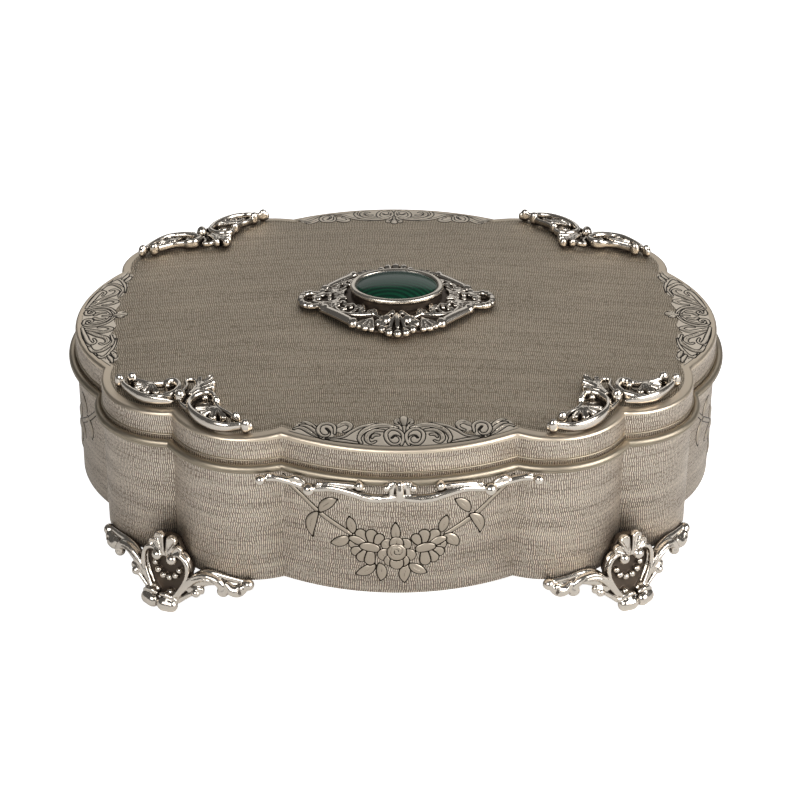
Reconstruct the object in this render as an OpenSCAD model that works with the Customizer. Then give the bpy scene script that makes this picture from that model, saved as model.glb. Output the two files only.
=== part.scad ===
// Footed silver jewellery casket with a lobed outline and a hinged, gently domed lid.
// A malachite cabochon sits in an oval collet on an openwork plaque at the centre of the lid.
// Millimetres. +Z is up, the front (thumb piece) faces -Y, and the origin is on the table
// under the centre of the outline.

/* [Outline] */
// Length of lid and body over the two end lobes
casket_length = 224; // [206:1:244]
// Depth of lid and body over the front and back lobes
casket_depth = 180; // [168:1:196]
// Width of the front and back lobes, notch to notch
front_lobe_width = 76; // [68:1:84]
// Bulge of the front and back lobes beyond their notches
front_lobe_bulge = 10; // [8:0.5:12]
// Width of the end lobes, notch to notch
end_lobe_width = 72; // [64:1:80]
// Bulge of the end lobes beyond their notches
end_lobe_bulge = 13; // [10:0.5:15]
// Corner notch, measured in from the end of the casket
corner_notch_from_end = 38; // [35:0.5:41]
// Corner notch, measured in from the front of the casket
corner_notch_from_front = 24; // [21:0.5:27]
// Bulge of the corner lobes beside the front and back
side_lobe_bulge = 8; // [7:0.25:9]
// Bulge of the corner lobes beside the ends
turn_lobe_bulge = 9; // [8:0.25:10]

/* [Body] */
// Clear height under the body
foot_height = 17.5; // [15:0.5:21]
// Height of the body from its underside to the lid joint
body_height = 43.2; // [34:0.2:56]
// Sheet thickness of the body wall and lid band
wall_sheet = 1.2; // [0.8:0.1:1.8]
// Thickness of the bottom plate
bottom_sheet = 1.2; // [0.8:0.1:2]
// Height of the locating collar above the lid joint
collar_rise = 3; // [1.5:0.25:4]
// Height of the locating collar below the lid joint
collar_drop = 7; // [4:0.5:10]
// Sheet thickness of the locating collar
collar_sheet = 0.8; // [0.5:0.1:1.2]
// Thickness of the velvet wall lining
lining_thickness = 1.5; // [0.8:0.1:2.5]
// Thickness of the velvet base pad
pad_thickness = 2.5; // [1.5:0.25:4]

/* [Lid] */
// Height of the lid from the joint to its top edge
lid_height = 10.8; // [9.5:0.2:14]
// Rise of the domed top above its edge
dome_rise = 6; // [4:0.25:8]
// Sheet thickness of the domed top
lid_sheet = 1.2; // [0.8:0.1:1.8]
// Thickness of the velvet lid lining
lid_lining_thickness = 1.5; // [0.8:0.1:2]

/* [Moulding] */
// Radius of the half-round moulding wire on each side of the joint
moulding_radius = 1.45; // [1:0.05:1.8]
// Distance from the wall out to the centre of the moulding wire
moulding_offset = 1.3; // [0.9:0.05:1.6]

/* [Plaque and stone] */
// Length of the plaque over its tips
plaque_length = 68.4; // [60:0.2:76]
// Depth of the plaque over its tips
plaque_depth = 53; // [48:0.5:60]
// Thickness of the plaque's ground plate
plaque_plate = 1; // [0.7:0.1:1.6]
// Height of the relief above the ground plate
plaque_relief = 2.2; // [1.4:0.1:3]
// Length of the oval stone
stone_length = 30; // [26:0.5:34]
// Width of the oval stone
stone_width = 23; // [20:0.5:26]
// Height of the stone's straight girdle
stone_girdle = 3; // [2:0.25:4]
// Height of the stone's dome above its girdle
stone_dome = 3.7; // [2.5:0.1:5]
// Width of the collet rim around the stone
collet_rim = 1.6; // [1:0.1:2.2]
// Height of the collet above the plaque plate
collet_height = 6; // [5:0.25:8]

/* [Corner mounts] */
// Reach of each arm from the notch line to its end ball
mount_reach = 26.2; // [24:0.2:27.5]
// Depth of the mount from the notch to the tip of its leaf fan
mount_depth = 24; // [20:0.5:28]
// Relief of the mount above the lid
mount_relief = 2.8; // [2:0.1:3.6]
// Radius of the mount's scroll rib
mount_rib = 0.95; // [0.7:0.05:1.2]

/* [Feet] */
// Height of each foot from the table to the top of its shell
foot_top = 28.5; // [26:0.5:31]
// Reach of each side arm from the middle of the foot
foot_reach = 29.6; // [27:0.2:32]
// Half width of the shield
foot_shield = 9.4; // [8:0.2:11]
// Distance of the shield's face from the notch at its top
foot_face_out = 6.2; // [5.8:0.1:7.4]
// Distance of the toe's centre from the notch
foot_toe_out = 11; // [9:0.1:12]
// Radius of the two toe lumps
toe_radius = 2.9; // [2.4:0.1:3.4]

/* [Thumb piece] */
// Reach of each arm from the middle to its end ball
thumb_reach = 44.8; // [42:0.2:48]
// Height of the thumb piece's middle boss
thumb_height = 8.2; // [7:0.2:9.5]
// Radius of the thumb piece's arms at their thickest
thumb_rod = 1.35; // [1:0.05:1.7]

/* [Hinge] */
// Length of the hinge
hinge_length = 44; // [30:1:60]
// Outer radius of the hinge knuckles
knuckle_radius = 2.25; // [1.9:0.05:2.8]
// Radius of the hinge pin
pin_radius = 0.9; // [0.6:0.05:1.2]
// Height of each hinge leaf
leaf_height = 7; // [5:0.25:8.5]
// Thickness of each hinge leaf
leaf_sheet = 1.2; // [1:0.1:1.6]

/* [Hidden] */

// Named clearances and overruns
solder_gap = 0.02;
cast_gap = 0.06;
lining_gap = 0.1;
lid_gap = 0.1;
lid_fit_gap = 0.3;
pin_gap = 0.05;
knuckle_gap = 0.2;
moulding_gap = 0.25;
cut = 1;
mitre_lap = 0.03;

// Smoothness of the drawn circles
arc_facets = 180;
dome_facets = 720;
wire_facets = 48;
cast_arc_facets = 48;
front_arc_facets = 96;
cast_dome_facets = 360;
ball_facets = 8;
bead_facets = 6;
petal_facets = 6;
rod_sides = 5;
curve_steps = 2;
oval_sides = 44;

// Levels above the table
joint_z = foot_height + body_height;
lid_z = joint_z + lid_gap;
edge_z = joint_z + lid_height;
apex_z = edge_z + dome_rise;

half_length = casket_length / 2;
half_depth = casket_depth / 2;

// Plan geometry: twelve arcs between twelve notches, counter-clockwise from the front left
front_notch = [front_lobe_width / 2, half_depth - front_lobe_bulge];
corner_notch = [half_length - corner_notch_from_end, half_depth - corner_notch_from_front];
end_notch = [half_length - end_lobe_bulge, end_lobe_width / 2];

function flip(p, sx, sy) = [sx * p.x, sy * p.y];
notches = [
    flip(front_notch, -1, -1), flip(front_notch, 1, -1), flip(corner_notch, 1, -1),
    flip(end_notch, 1, -1), end_notch, corner_notch, front_notch, flip(front_notch, -1, 1),
    flip(corner_notch, -1, 1), flip(end_notch, -1, 1), flip(end_notch, -1, -1),
    flip(corner_notch, -1, -1)
];
half_bulges = [front_lobe_bulge, side_lobe_bulge, turn_lobe_bulge,
               end_lobe_bulge, turn_lobe_bulge, side_lobe_bulge];
bulges = concat(half_bulges, half_bulges);
count = len(notches);

function unit(v) = v / norm(v);
function next(i) = (i + 1) % count;
function before(i) = (i + count - 1) % count;
function heading(v) = atan2(v.y, v.x);

// Each lobe is [centre, radius, first notch, last notch]
function lobe(a, b, bulge) =
    let (chord = norm(b - a), out = [(b - a).y, -(b - a).x] / chord,
         radius = (chord * chord / 4 + bulge * bulge) / (2 * bulge))
    [(a + b) / 2 - out * (radius - bulge), radius, a, b];
lobes = [for (i = [0:count - 1]) lobe(notches[i], notches[next(i)], bulges[i])];

// Direction out of a notch, halfway between the two lobes that meet there
function notch_out(i) = unit(unit(notches[i] - lobes[before(i)][0])
                             + unit(notches[i] - lobes[i][0]));

module outline(grow = 0) {
    for (l = lobes)
        translate(l[0]) circle(l[1] + grow, $fn = arc_facets);
}

module slab(z0, z1, grow = 0) {
    translate([0, 0, z0]) linear_extrude(z1 - z0) outline(grow);
}

module ring(z0, z1, outer, inner) {
    translate([0, 0, z0]) linear_extrude(z1 - z0) difference() {
        outline(outer);
        outline(inner);
    }
}

// Dome: a very large ring surface, whose two radii follow from the rise over each half span
function span_radius(half, rise) = (half * half + rise * rise) / (2 * rise);
length_radius = span_radius(half_length, dome_rise);
depth_radius = span_radius(half_depth, dome_rise);

function dome_z(x, y) =
    let (reach = length_radius - depth_radius + sqrt(depth_radius * depth_radius - y * y))
    apex_z - length_radius + sqrt(reach * reach - x * x);

// Everything under the dome surface, raised by lift, down past the lid's edge
module dome(lift = 0, facets = dome_facets) {
    half_turn = asin((half_length + cut) / length_radius);
    deep = 2 * dome_rise + lid_sheet;
    translate([0, 0, apex_z - length_radius + lift])
        rotate([-90, 0, 0]) rotate([0, 0, -90 - half_turn])
            rotate_extrude(angle = 2 * half_turn, $fn = facets) intersection() {
                translate([length_radius - depth_radius, 0]) circle(depth_radius, $fn = facets);
                translate([length_radius - deep, -half_depth - cut])
                    square([deep + cut, casket_depth + 2 * cut]);
            }
}

// Half-round wire around the wall, one arc to each lobe, mitred at the notches.
// up = 1 keeps the half above the level z and -1 the half below it.
moulding_out = moulding_offset + moulding_radius;
module half_round(z, up) {
    for (i = [0:count - 1]) {
        l = lobes[i];
        overrun = 2 * moulding_out / l[1] * 180 / PI;
        from = heading(l[2] - l[0]) - overrun;
        turn = (heading(l[3] - l[0]) + overrun - from + 360) % 360;
        first = notch_out(i);
        last = notch_out(next(i));
        lap_first = l[2] + mitre_lap * [first.y, -first.x];
        lap_last = l[3] - mitre_lap * [last.y, -last.x];
        intersection() {
            translate([l[0].x, l[0].y, z]) rotate([0, 0, from])
                rotate_extrude(angle = turn, $fn = arc_facets) intersection() {
                    translate([l[1] + moulding_offset, 0]) circle(moulding_radius, $fn = wire_facets);
                    translate([l[1] + solder_gap, up > 0 ? 0 : -moulding_out])
                        square([moulding_out, moulding_out]);
                }
            translate([0, 0, z - moulding_out]) linear_extrude(2 * moulding_out)
                polygon([l[0], lap_first, lap_first + first * l[1], lap_last + last * l[1], lap_last]);
        }
    }
}

// Smooth curve through hand-placed points, which may carry a thickness as a fourth number
function smooth(p, steps) = concat([for (i = [0:len(p) - 2]) for (k = [0:steps - 1])
    let (s = k / steps, a = p[max(i - 1, 0)], b = p[i], c = p[i + 1],
         d = p[min(i + 2, len(p) - 1)])
    (2 * b + (c - a) * s + (2 * a - 5 * b + 4 * c - d) * s * s
     + (3 * b - 3 * c + d - a) * s * s * s) / 2], [p[len(p) - 1]]);
function place(p) = [p[0], p[1], p[2]];

// Tapered rod along a curve of [x, y, z, radius] points
module vine(points, up = [0, 0, 1], steps = curve_steps, sides = rod_sides) {
    p = smooth(points, steps);
    last = len(p) - 1;
    rings = [for (i = [0:last])
        let (along = unit(place(p[min(i + 1, last)]) - place(p[max(i - 1, 0)])),
             side = unit(cross(along, up)), top = cross(side, along))
        for (k = [0:sides - 1])
            place(p[i]) + p[i][3] * (cos(k * 360 / sides) * side + sin(k * 360 / sides) * top)];
    polyhedron(rings, concat(
        [[for (k = [0:sides - 1]) sides - 1 - k]],
        [[for (k = [0:sides - 1]) last * sides + k]],
        [for (i = [0:last - 1]) for (k = [0:sides - 1])
            let (m = (k + 1) % sides)
            [i * sides + m, (i + 1) * sides + m, (i + 1) * sides + k, i * sides + k]]));
}

module ball(at, r, facets = ball_facets) {
    translate(place(at)) sphere(r, $fn = facets);
}

// Leaf lobe: one swelling from a root to a tip, both [x, y, z, radius]
module petal(root, tip) {
    hull() {
        translate(place(root)) sphere(root[3], $fn = petal_facets);
        translate(place(tip)) sphere(tip[3], $fn = petal_facets);
    }
}

module both_ways(across) {
    children();
    mirror(across) children();
}

// Shape repeated in another quarter of the plan: sx and sy are 1 or -1
module quarter(sx, sy) {
    mirror([sx < 0 ? 1 : 0, 0, 0]) mirror([0, sy < 0 ? 1 : 0, 0]) children();
}

silver = [0.66, 0.63, 0.59];
bright_silver = [0.82, 0.8, 0.77];
velvet = [0.2, 0.05, 0.08];
malachite = [0.06, 0.3, 0.2];

// Body

module body_wall() color(silver) ring(foot_height, joint_z, 0, -wall_sheet);

module bottom_plate()
    color(silver) slab(foot_height, foot_height + bottom_sheet, -wall_sheet - solder_gap);

module rim_moulding() color(bright_silver) half_round(joint_z, -1);

// Strip inside the rim: seated on the wall below the joint, clear of the lid above it
collar_inner = -wall_sheet - lid_fit_gap - collar_sheet;
module locating_collar() color(bright_silver) {
    ring(joint_z - collar_drop, joint_z - solder_gap, -wall_sheet - solder_gap, collar_inner);
    ring(joint_z - collar_drop, joint_z + collar_rise, -wall_sheet - lid_fit_gap, collar_inner);
}

pad_z = foot_height + bottom_sheet;
lining_top = joint_z - collar_drop;
module base_pad() color(velvet)
    slab(pad_z, pad_z + pad_thickness, -wall_sheet - lining_gap);

module wall_lining() color(velvet)
    ring(pad_z + pad_thickness, lining_top, -wall_sheet - lining_gap,
         -wall_sheet - lining_gap - lining_thickness);

// Feet. Drawn with the notch at the origin, +Y out of it, then turned into each corner notch.
// Tables give [share of foot_reach, share of foot_top, thickness as a share of toe_radius].
foot_index = 5;
foot_heading = heading(notch_out(foot_index)) - 90;
function face_out(z) = foot_face_out + (foot_toe_out - foot_face_out) * pow(1 - z / foot_top, 2);
function arm_out(x) =
    foot_face_out * (1 - pow(abs(x) / foot_reach, 2)) + toe_radius / 2 * abs(x) / foot_reach;
function on_shield(s) = [s.x * foot_shield, face_out(s.y * foot_top), s.y * foot_top, s.z * toe_radius];
function on_arm(s) = [s.x * foot_reach, arm_out(s.x * foot_reach), s.y * foot_top, s.z * toe_radius];

shield_rim_shares = [
    [0.3, 0.67, 0.3], [0.44, 0.76, 0.36], [0.74, 0.765, 0.38], [0.95, 0.68, 0.36],
    [0.97, 0.55, 0.34], [0.86, 0.4, 0.34], [0.64, 0.26, 0.36], [0.42, 0.15, 0.4]
];
shield_width_shares = [[0.45, 0.1], [0.86, 0.39], [0.94, 0.6], [0.7, 0.76], [0.3, 0.86]];
shell_root_shares = [0, 0.77, 0.36];
shell_tip_shares = [[0, 0.945, 0.5], [0.36, 0.91, 0.46], [0.6, 0.83, 0.42]];
volute_shares = [0.27, 0.66, 0.62];
foot_bead_shares = [[0.55, 0.585, 0.28], [0.42, 0.49, 0.3], [0.16, 0.44, 0.32]];
arm_shares = [
    [0.14, 0.2, 0.46], [0.28, 0.38, 0.56], [0.44, 0.5, 0.6], [0.6, 0.53, 0.6],
    [0.73, 0.46, 0.52], [0.74, 0.39, 0.4]
];
arm_leaf_shares = [[0.56, 0.52, 0.5], [0.76, 0.49, 0.64], [0.9, 0.53, 0.6], [0.99, 0.58, 0.4]];
arm_bump_shares = [[0.31, 0.38, 0.6], [0.455, 0.3, 0.4]];
arm_ball_shares = [1, 0.59, 0.56];
toe_heel_shares = [0.26, 0.2, 0.7];
toe_centre_shares = [0.95, 0.8];
shield_depth_share = 1.3;
spur_top_share = 0.8;

module shield_bar(s) {
    z = s.y * foot_top;
    thick = toe_radius / 2;
    translate([-s.x * foot_shield, face_out(z) - shield_depth_share * thick, z])
        cube([2 * s.x * foot_shield, thick, thick]);
}

module foot_casting() {
    for (i = [0:len(shield_width_shares) - 2]) hull() {
        shield_bar(shield_width_shares[i]);
        shield_bar(shield_width_shares[i + 1]);
    }
    petal(on_shield(shell_root_shares), on_shield(shell_tip_shares[0]));
    both_ways([1, 0, 0]) {
        vine([for (s = shield_rim_shares) on_shield(s)], [0, 1, 0]);
        for (k = [1:len(shell_tip_shares) - 1])
            petal(on_shield(shell_root_shares), on_shield(shell_tip_shares[k]));
        ball(on_shield(volute_shares), volute_shares.z * toe_radius);
        for (s = foot_bead_shares) ball(on_shield(s), s.z * toe_radius, bead_facets);
        hull() {
            ball([toe_centre_shares[0] * toe_radius, foot_toe_out, toe_centre_shares[1] * toe_radius],
                 toe_radius);
            ball(on_shield(toe_heel_shares), toe_heel_shares.z * toe_radius);
        }
        vine([for (s = arm_shares) on_arm(s)], [0, 1, 0], 1);
        vine([for (s = arm_leaf_shares) on_arm(s)], [0, 1, 0], 1);
        petal(on_arm(arm_bump_shares[0]), on_arm(arm_bump_shares[1]));
        ball(on_arm(arm_ball_shares), arm_ball_shares.z * toe_radius);
    }
    // Bracket under the body, and the spur that fills the notch behind the shield
    hull() {
        translate([-toe_radius, -2 * toe_radius, foot_height - toe_radius / 2])
            cube([2 * toe_radius, toe_radius, toe_radius / 2]);
        translate([-2 * toe_radius, foot_face_out - toe_radius, foot_height - 2 * toe_radius])
            cube([4 * toe_radius, toe_radius, 2 * toe_radius]);
    }
    translate([-toe_radius, 0, foot_height - toe_radius])
        cube([2 * toe_radius, foot_face_out - toe_radius / 2,
              foot_top * spur_top_share - foot_height + toe_radius]);
}

module foot(sx, sy) color(bright_silver) quarter(sx, sy) difference() {
    translate(corner_notch) rotate([0, 0, foot_heading]) foot_casting();
    for (l = [lobes[before(foot_index)], lobes[foot_index]])
        translate([l[0].x, l[0].y, foot_height])
            cylinder(h = foot_top, r = l[1] + cast_gap, $fn = cast_arc_facets);
    translate([corner_notch.x - foot_reach * 2, corner_notch.y - foot_reach * 2, -foot_top])
        cube([foot_reach * 4, foot_reach * 4, foot_top]);
}

// Lid

lid_inner = -wall_sheet;
module lid_band() color(silver) ring(lid_z, edge_z - lid_sheet, 0, lid_inner);

module lid_top() color(silver) difference() {
    intersection() {
        slab(edge_z - lid_sheet, apex_z + cut);
        dome();
    }
    intersection() {
        slab(edge_z - lid_sheet - cut, apex_z + cut, 2 * lid_inner);
        dome(-lid_sheet);
    }
}

module lid_moulding() color(bright_silver) half_round(lid_z, 1);

module lid_lining() color(velvet) difference() {
    intersection() {
        slab(edge_z - lid_sheet - lid_lining_thickness, apex_z, 2 * lid_inner - lining_gap);
        dome(-lid_sheet - lining_gap);
    }
    intersection() {
        slab(edge_z - lid_sheet - lid_lining_thickness - cut, apex_z,
             2 * lid_inner - lining_gap - lid_lining_thickness);
        dome(-lid_sheet - lining_gap - lid_lining_thickness);
    }
}

// Corner mounts. Tables give [share of mount_reach along the edge, share of mount_depth in from
// the notch, share of mount_relief, thickness as a share of mount_rib].
mount_out = notch_out(foot_index);
mount_along = [-mount_out.y, mount_out.x];
function on_mount(s, way = 1) =
    let (p = corner_notch + way * s[0] * mount_reach * mount_along - s[1] * mount_depth * mount_out)
    [p.x, p.y, dome_z(p.x, p.y) + s[2] * mount_relief, s[3] * mount_rib];

mount_rib_shares = [
    [0.97, 0.26, 0.4, 0.9], [0.78, 0.1, 0.42, 1.05], [0.5, 0.04, 0.45, 1.15], [0.22, 0.15, 0.5, 1.05],
    [0.08, 0.42, 0.5, 0.95], [0.18, 0.64, 0.5, 0.85], [0.33, 0.67, 0.5, 0.8], [0.4, 0.6, 0.48, 0.75]
];
mount_stem_shares = [[0.84, 0.36, 0.45, 0.8], [0.66, 0.4, 0.5, 0.75], [0.5, 0.42, 0.5, 0.75],
                     [0.4, 0.52, 0.5, 0.8]];
mount_leaf_root_shares = [0.6, 0.38, 0.65, 1.1];
mount_leaf_tip_shares = [[0.73, 0.24, 0.4, 1.2], [0.58, 0.19, 0.45, 1.4], [0.43, 0.22, 0.4, 1.2]];
mount_end_ball_shares = [1, 0.26, 0.42, 1.6];
mount_scroll_ball_shares = [0.84, 0.35, 0.5, 1.5];
mount_curl_ball_shares = [0.37, 0.5, 0.55, 1.6];
mount_centre_ball_shares = [0, 0.32, 0.55, 2];
mount_fan_root_shares = [0, 0.5, 0.45, 1.1];
mount_fan_tip_shares = [[0.2, 0.7, 0.35, 1.3], [0.12, 0.86, 0.38, 1.3]];
mount_fan_point_shares = [0, 0.95, 0.42, 1.4];
mount_ground_shares = [
    [0, 0.34], [0.12, 0.2], [0.4, 0.1], [0.6, 0.07], [0.8, 0.14], [0.94, 0.26], [0.82, 0.36],
    [0.6, 0.42], [0.38, 0.64], [0.22, 0.7], [0.12, 0.86], [0, 0.95]
];
mount_ground_share = 0.2;

module mount_ground_plate() intersection() {
    translate([0, 0, edge_z - dome_rise]) linear_extrude(3 * dome_rise) polygon([
        for (way = [1, -1]) for (k = [0:len(mount_ground_shares) - 1])
            let (s = mount_ground_shares[way > 0 ? k : len(mount_ground_shares) - 1 - k],
                 p = on_mount([s[0], s[1], 0, 0], way))
            [p.x, p.y]]);
    dome(mount_ground_share * mount_relief, cast_dome_facets);
}

module mount_casting() {
    mount_ground_plate();
    for (way = [1, -1]) {
        vine([for (s = mount_rib_shares) on_mount(s, way)]);
        vine([for (s = mount_stem_shares) on_mount(s, way)], [0, 0, 1], 1);
        for (s = mount_leaf_tip_shares)
            petal(on_mount(mount_leaf_root_shares, way), on_mount(s, way));
        ball(on_mount(mount_end_ball_shares, way), mount_end_ball_shares[3] * mount_rib);
        for (s = [mount_scroll_ball_shares, mount_curl_ball_shares])
            ball(on_mount(s, way), s[3] * mount_rib, bead_facets);
        for (s = mount_fan_tip_shares) petal(on_mount(mount_fan_root_shares), on_mount(s, way));
    }
    petal(on_mount(mount_fan_root_shares), on_mount(mount_fan_point_shares));
    ball(on_mount(mount_centre_ball_shares), mount_centre_ball_shares[3] * mount_rib);
}

module corner_mount(sx, sy) color(bright_silver) quarter(sx, sy) difference() {
    mount_casting();
    dome(cast_gap, cast_dome_facets);
}

// Plaque. Tables give [share of the half length, share of the half depth, share of the relief,
// thickness as a share of the relief].
plaque_z = apex_z + plaque_plate;
function on_plaque(s) = [s[0] * plaque_length / 2, s[1] * plaque_depth / 2,
                         plaque_z + s[2] * plaque_relief, s[3] * plaque_relief];
plaque_edge_shares = [
    [0.98, 0.08], [0.93, 0.19], [0.82, 0.18], [0.75, 0.24], [0.46, 0.62], [0.34, 0.66], [0.25, 0.7],
    [0.2, 0.86], [0.1, 0.96]
];
plaque_bar_shares = [[0.73, 0.25, 0.2, 0.5], [0.45, 0.61, 0.2, 0.5]];
plaque_loop_shares = [
    [0.76, 0, 0.25, 0.4], [0.82, 0.15, 0.25, 0.42], [0.93, 0.14, 0.25, 0.44], [0.955, 0, 0.25, 0.46]
];
plaque_scroll_shares = [
    [0.38, 0.56, 0.25, 0.38], [0.3, 0.42, 0.3, 0.4], [0.42, 0.3, 0.3, 0.4], [0.52, 0.36, 0.3, 0.42],
    [0.47, 0.45, 0.3, 0.46]
];
plaque_berry_shares = [[0.68, 0.14, 0.25, 0.54], [0.6, 0.26, 0.25, 0.5], [0.56, 0.12, 0.25, 0.52],
                       [0.64, 0.03, 0.25, 0.5]];
plaque_leaf_root_shares = [[0.4, 0.55, 0.3, 0.4], [0.33, 0.54, 0.3, 0.4]];
plaque_leaf_tip_shares = [[0.33, 0.66, 0.2, 0.5], [0.25, 0.62, 0.2, 0.5]];
plaque_curl_shares = [[0.04, 0.6, 0.3, 0.38], [0.09, 0.54, 0.3, 0.4], [0.16, 0.58, 0.3, 0.42],
                      [0.2, 0.7, 0.3, 0.44], [0.17, 0.82, 0.25, 0.46]];
plaque_fan_root_shares = [0, 0.64, 0.35, 0.45];
plaque_fan_tip_shares = [[0.14, 0.87, 0.2, 0.5], [0.075, 0.92, 0.2, 0.52]];
plaque_fan_point_shares = [0, 0.935, 0.25, 0.54];

// Outline of the whole plate, one quarter after another
function plaque_quarter(sx, sy) = [for (s = plaque_edge_shares)
    [sx * s[0] * plaque_length / 2, sy * s[1] * plaque_depth / 2]];
function backwards(p) = [for (i = [len(p) - 1:-1:0]) p[i]];
module plaque_ground() {
    translate([0, 0, edge_z]) linear_extrude(plaque_z - edge_z) polygon(concat(
        plaque_quarter(1, 1), backwards(plaque_quarter(-1, 1)),
        plaque_quarter(-1, -1), backwards(plaque_quarter(1, -1))));
}

module plaque_casting() {
    plaque_ground();
    both_ways([1, 0, 0]) both_ways([0, 1, 0]) {
        petal(on_plaque(plaque_bar_shares[0]), on_plaque(plaque_bar_shares[1]));
        vine([for (s = plaque_loop_shares) on_plaque(s)]);
        vine([for (s = plaque_scroll_shares) on_plaque(s)], [0, 0, 1], 1);
        for (s = plaque_berry_shares) ball(on_plaque(s), s[3] * plaque_relief, bead_facets);
        for (k = [0:len(plaque_leaf_root_shares) - 1])
            petal(on_plaque(plaque_leaf_root_shares[k]), on_plaque(plaque_leaf_tip_shares[k]));
        vine([for (s = plaque_curl_shares) on_plaque(s)]);
        for (s = plaque_fan_tip_shares) petal(on_plaque(plaque_fan_root_shares), on_plaque(s));
    }
    both_ways([0, 1, 0])
        petal(on_plaque(plaque_fan_root_shares), on_plaque(plaque_fan_point_shares));
}

module plaque() color(bright_silver) difference() {
    plaque_casting();
    dome(cast_gap, cast_dome_facets);
}

// Oval pieces: stacked ovals of [height, half length, half width], closed at both ends
module oval_stack(rows) {
    points = [for (row = rows) for (k = [0:oval_sides - 1])
        [row[1] * cos(k * 360 / oval_sides), row[2] * sin(k * 360 / oval_sides), row[0]]];
    top = len(rows) - 1;
    polyhedron(points, concat(
        [[for (k = [0:oval_sides - 1]) k]],
        [[for (k = [0:oval_sides - 1]) top * oval_sides + oval_sides - 1 - k]],
        [for (i = [0:top - 1]) for (k = [0:oval_sides - 1])
            let (m = (k + 1) % oval_sides, a = i * oval_sides, b = a + oval_sides)
            each [[a + k, b + k, b + m], [a + k, b + m, a + m]]]));
}

module oval(z0, z1, grow) {
    translate([0, 0, z0]) linear_extrude(z1 - z0)
        polygon([for (k = [0:oval_sides - 1])
            [(stone_length / 2 + grow) * cos(k * 360 / oval_sides),
             (stone_width / 2 + grow) * sin(k * 360 / oval_sides)]]);
}

stone_clear = 0.05;
collet_skirt_share = 0.7;
collet_lip_share = 0.75;
collet_roll_share = 1.5;
collet_z = plaque_z + solder_gap;
collet_top = plaque_z + collet_height;
girdle_top = collet_top - collet_rim / 2;
stone_z = girdle_top - stone_girdle;

// The collet's skirt, its rolled rim and its seat for the stone are stacked rings
module collet() color(bright_silver) difference() {
    union() {
        oval(collet_z, collet_top - collet_rim, collet_rim * collet_skirt_share);
        oval(collet_z, collet_z + collet_rim / 2, collet_rim);
        oval(collet_top - collet_roll_share * collet_rim, collet_top - collet_rim / 4, collet_rim);
        oval(collet_top - collet_rim, collet_top, collet_rim * collet_lip_share);
    }
    oval(collet_z - cut, collet_top + cut, stone_clear);
}

module stone_bed() color(bright_silver) oval(collet_z, stone_z, -stone_clear);

dome_levels = 7;
dome_turn = 84;
module cabochon() color(malachite) oval_stack(concat(
    [[stone_z, stone_length / 2, stone_width / 2]],
    [for (k = [0:dome_levels - 1]) let (a = dome_turn * k / (dome_levels - 1))
        [girdle_top + stone_dome * sin(a), stone_length / 2 * cos(a), stone_width / 2 * cos(a)]]));

// Thumb piece. It follows the moulding round the front of the lid.
// Tables give [share of thumb_reach, share of thumb_height above its foot, thickness as a share
// of thumb_rod].
thumb_drop_share = 0.66;
thumb_z = joint_z - thumb_drop_share * thumb_height;
function moulding_y(x) =
    let (l = lobes[abs(x) < front_notch.x ? 0 : 1])
    l[0].y - sqrt(pow(l[1] + moulding_out, 2) - pow(abs(x) - l[0].x, 2));
function on_thumb(s) =
    let (x = s.x * thumb_reach, r = s.z * thumb_rod)
    [x, moulding_y(x) - lid_fit_gap - r, thumb_z + s.y * thumb_height, r];
thumb_arm_shares = [
    [0, 0.32, 0.9], [0.1, 0.14, 0.95], [0.22, 0.12, 1], [0.34, 0.28, 1], [0.48, 0.36, 0.9],
    [0.64, 0.2, 0.9], [0.78, 0.3, 0.9], [0.9, 0.42, 0.9], [1, 0.42, 0.8]
];
thumb_ball_shares = [[1, 0.42, 1.35], [0.655, 0.2, 1.55]];
thumb_bump_shares = [[0.3, 0.24, 0.9], [0.29, 0.66, 0.85]];
thumb_seat_shares = [0.29, 0.76, 0.8];
// The boss stands on the rod's thickness: [share of thumb_rod across, and as above]
function on_boss(s) = on_thumb([s.x * thumb_rod / thumb_reach, s.y, s.z]);
boss_curl_shares = [[2, 0.3, 1], [4.3, 0.66, 0.8]];
boss_side_shares = [[1.92, 0.24, 0.75], [1.66, 0.86, 0.85]];
boss_rib_shares = [[0, 0.12, 1.05], [0, 0.88, 1.05]];
boss_push_share = 1.1;

function pushed(p) = [p[0], p[1] - boss_push_share * thumb_rod, p[2], p[3]];
module thumb_casting() {
    petal(pushed(on_boss(boss_rib_shares[0])), pushed(on_boss(boss_rib_shares[1])));
    both_ways([1, 0, 0]) {
        vine([for (s = thumb_arm_shares) on_thumb(s)]);
        for (s = thumb_ball_shares) ball(on_thumb(s), s.z * thumb_rod);
        petal(on_thumb(thumb_bump_shares[0]), on_thumb(thumb_bump_shares[1]));
        petal(on_boss(boss_curl_shares[0]), on_boss(boss_curl_shares[1]));
        petal(pushed(on_boss(boss_side_shares[0])), on_boss(boss_side_shares[1]));
        // Seats that carry the casting on the lid's moulding and band
        hull() {
            ball(on_thumb(thumb_seat_shares), thumb_rod, bead_facets);
            translate([thumb_seat_shares.x * thumb_reach - thumb_rod, -half_depth - thumb_rod / 2,
                       lid_z + moulding_radius / 2])
                cube([2 * thumb_rod, 2 * thumb_rod, moulding_radius]);
        }
    }
    hull() {
        ball(on_boss(boss_rib_shares[1]), thumb_rod, bead_facets);
        translate([-thumb_rod, -half_depth - thumb_rod / 2, lid_z + moulding_radius / 2])
            cube([2 * thumb_rod, thumb_rod, moulding_radius]);
    }
}

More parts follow.
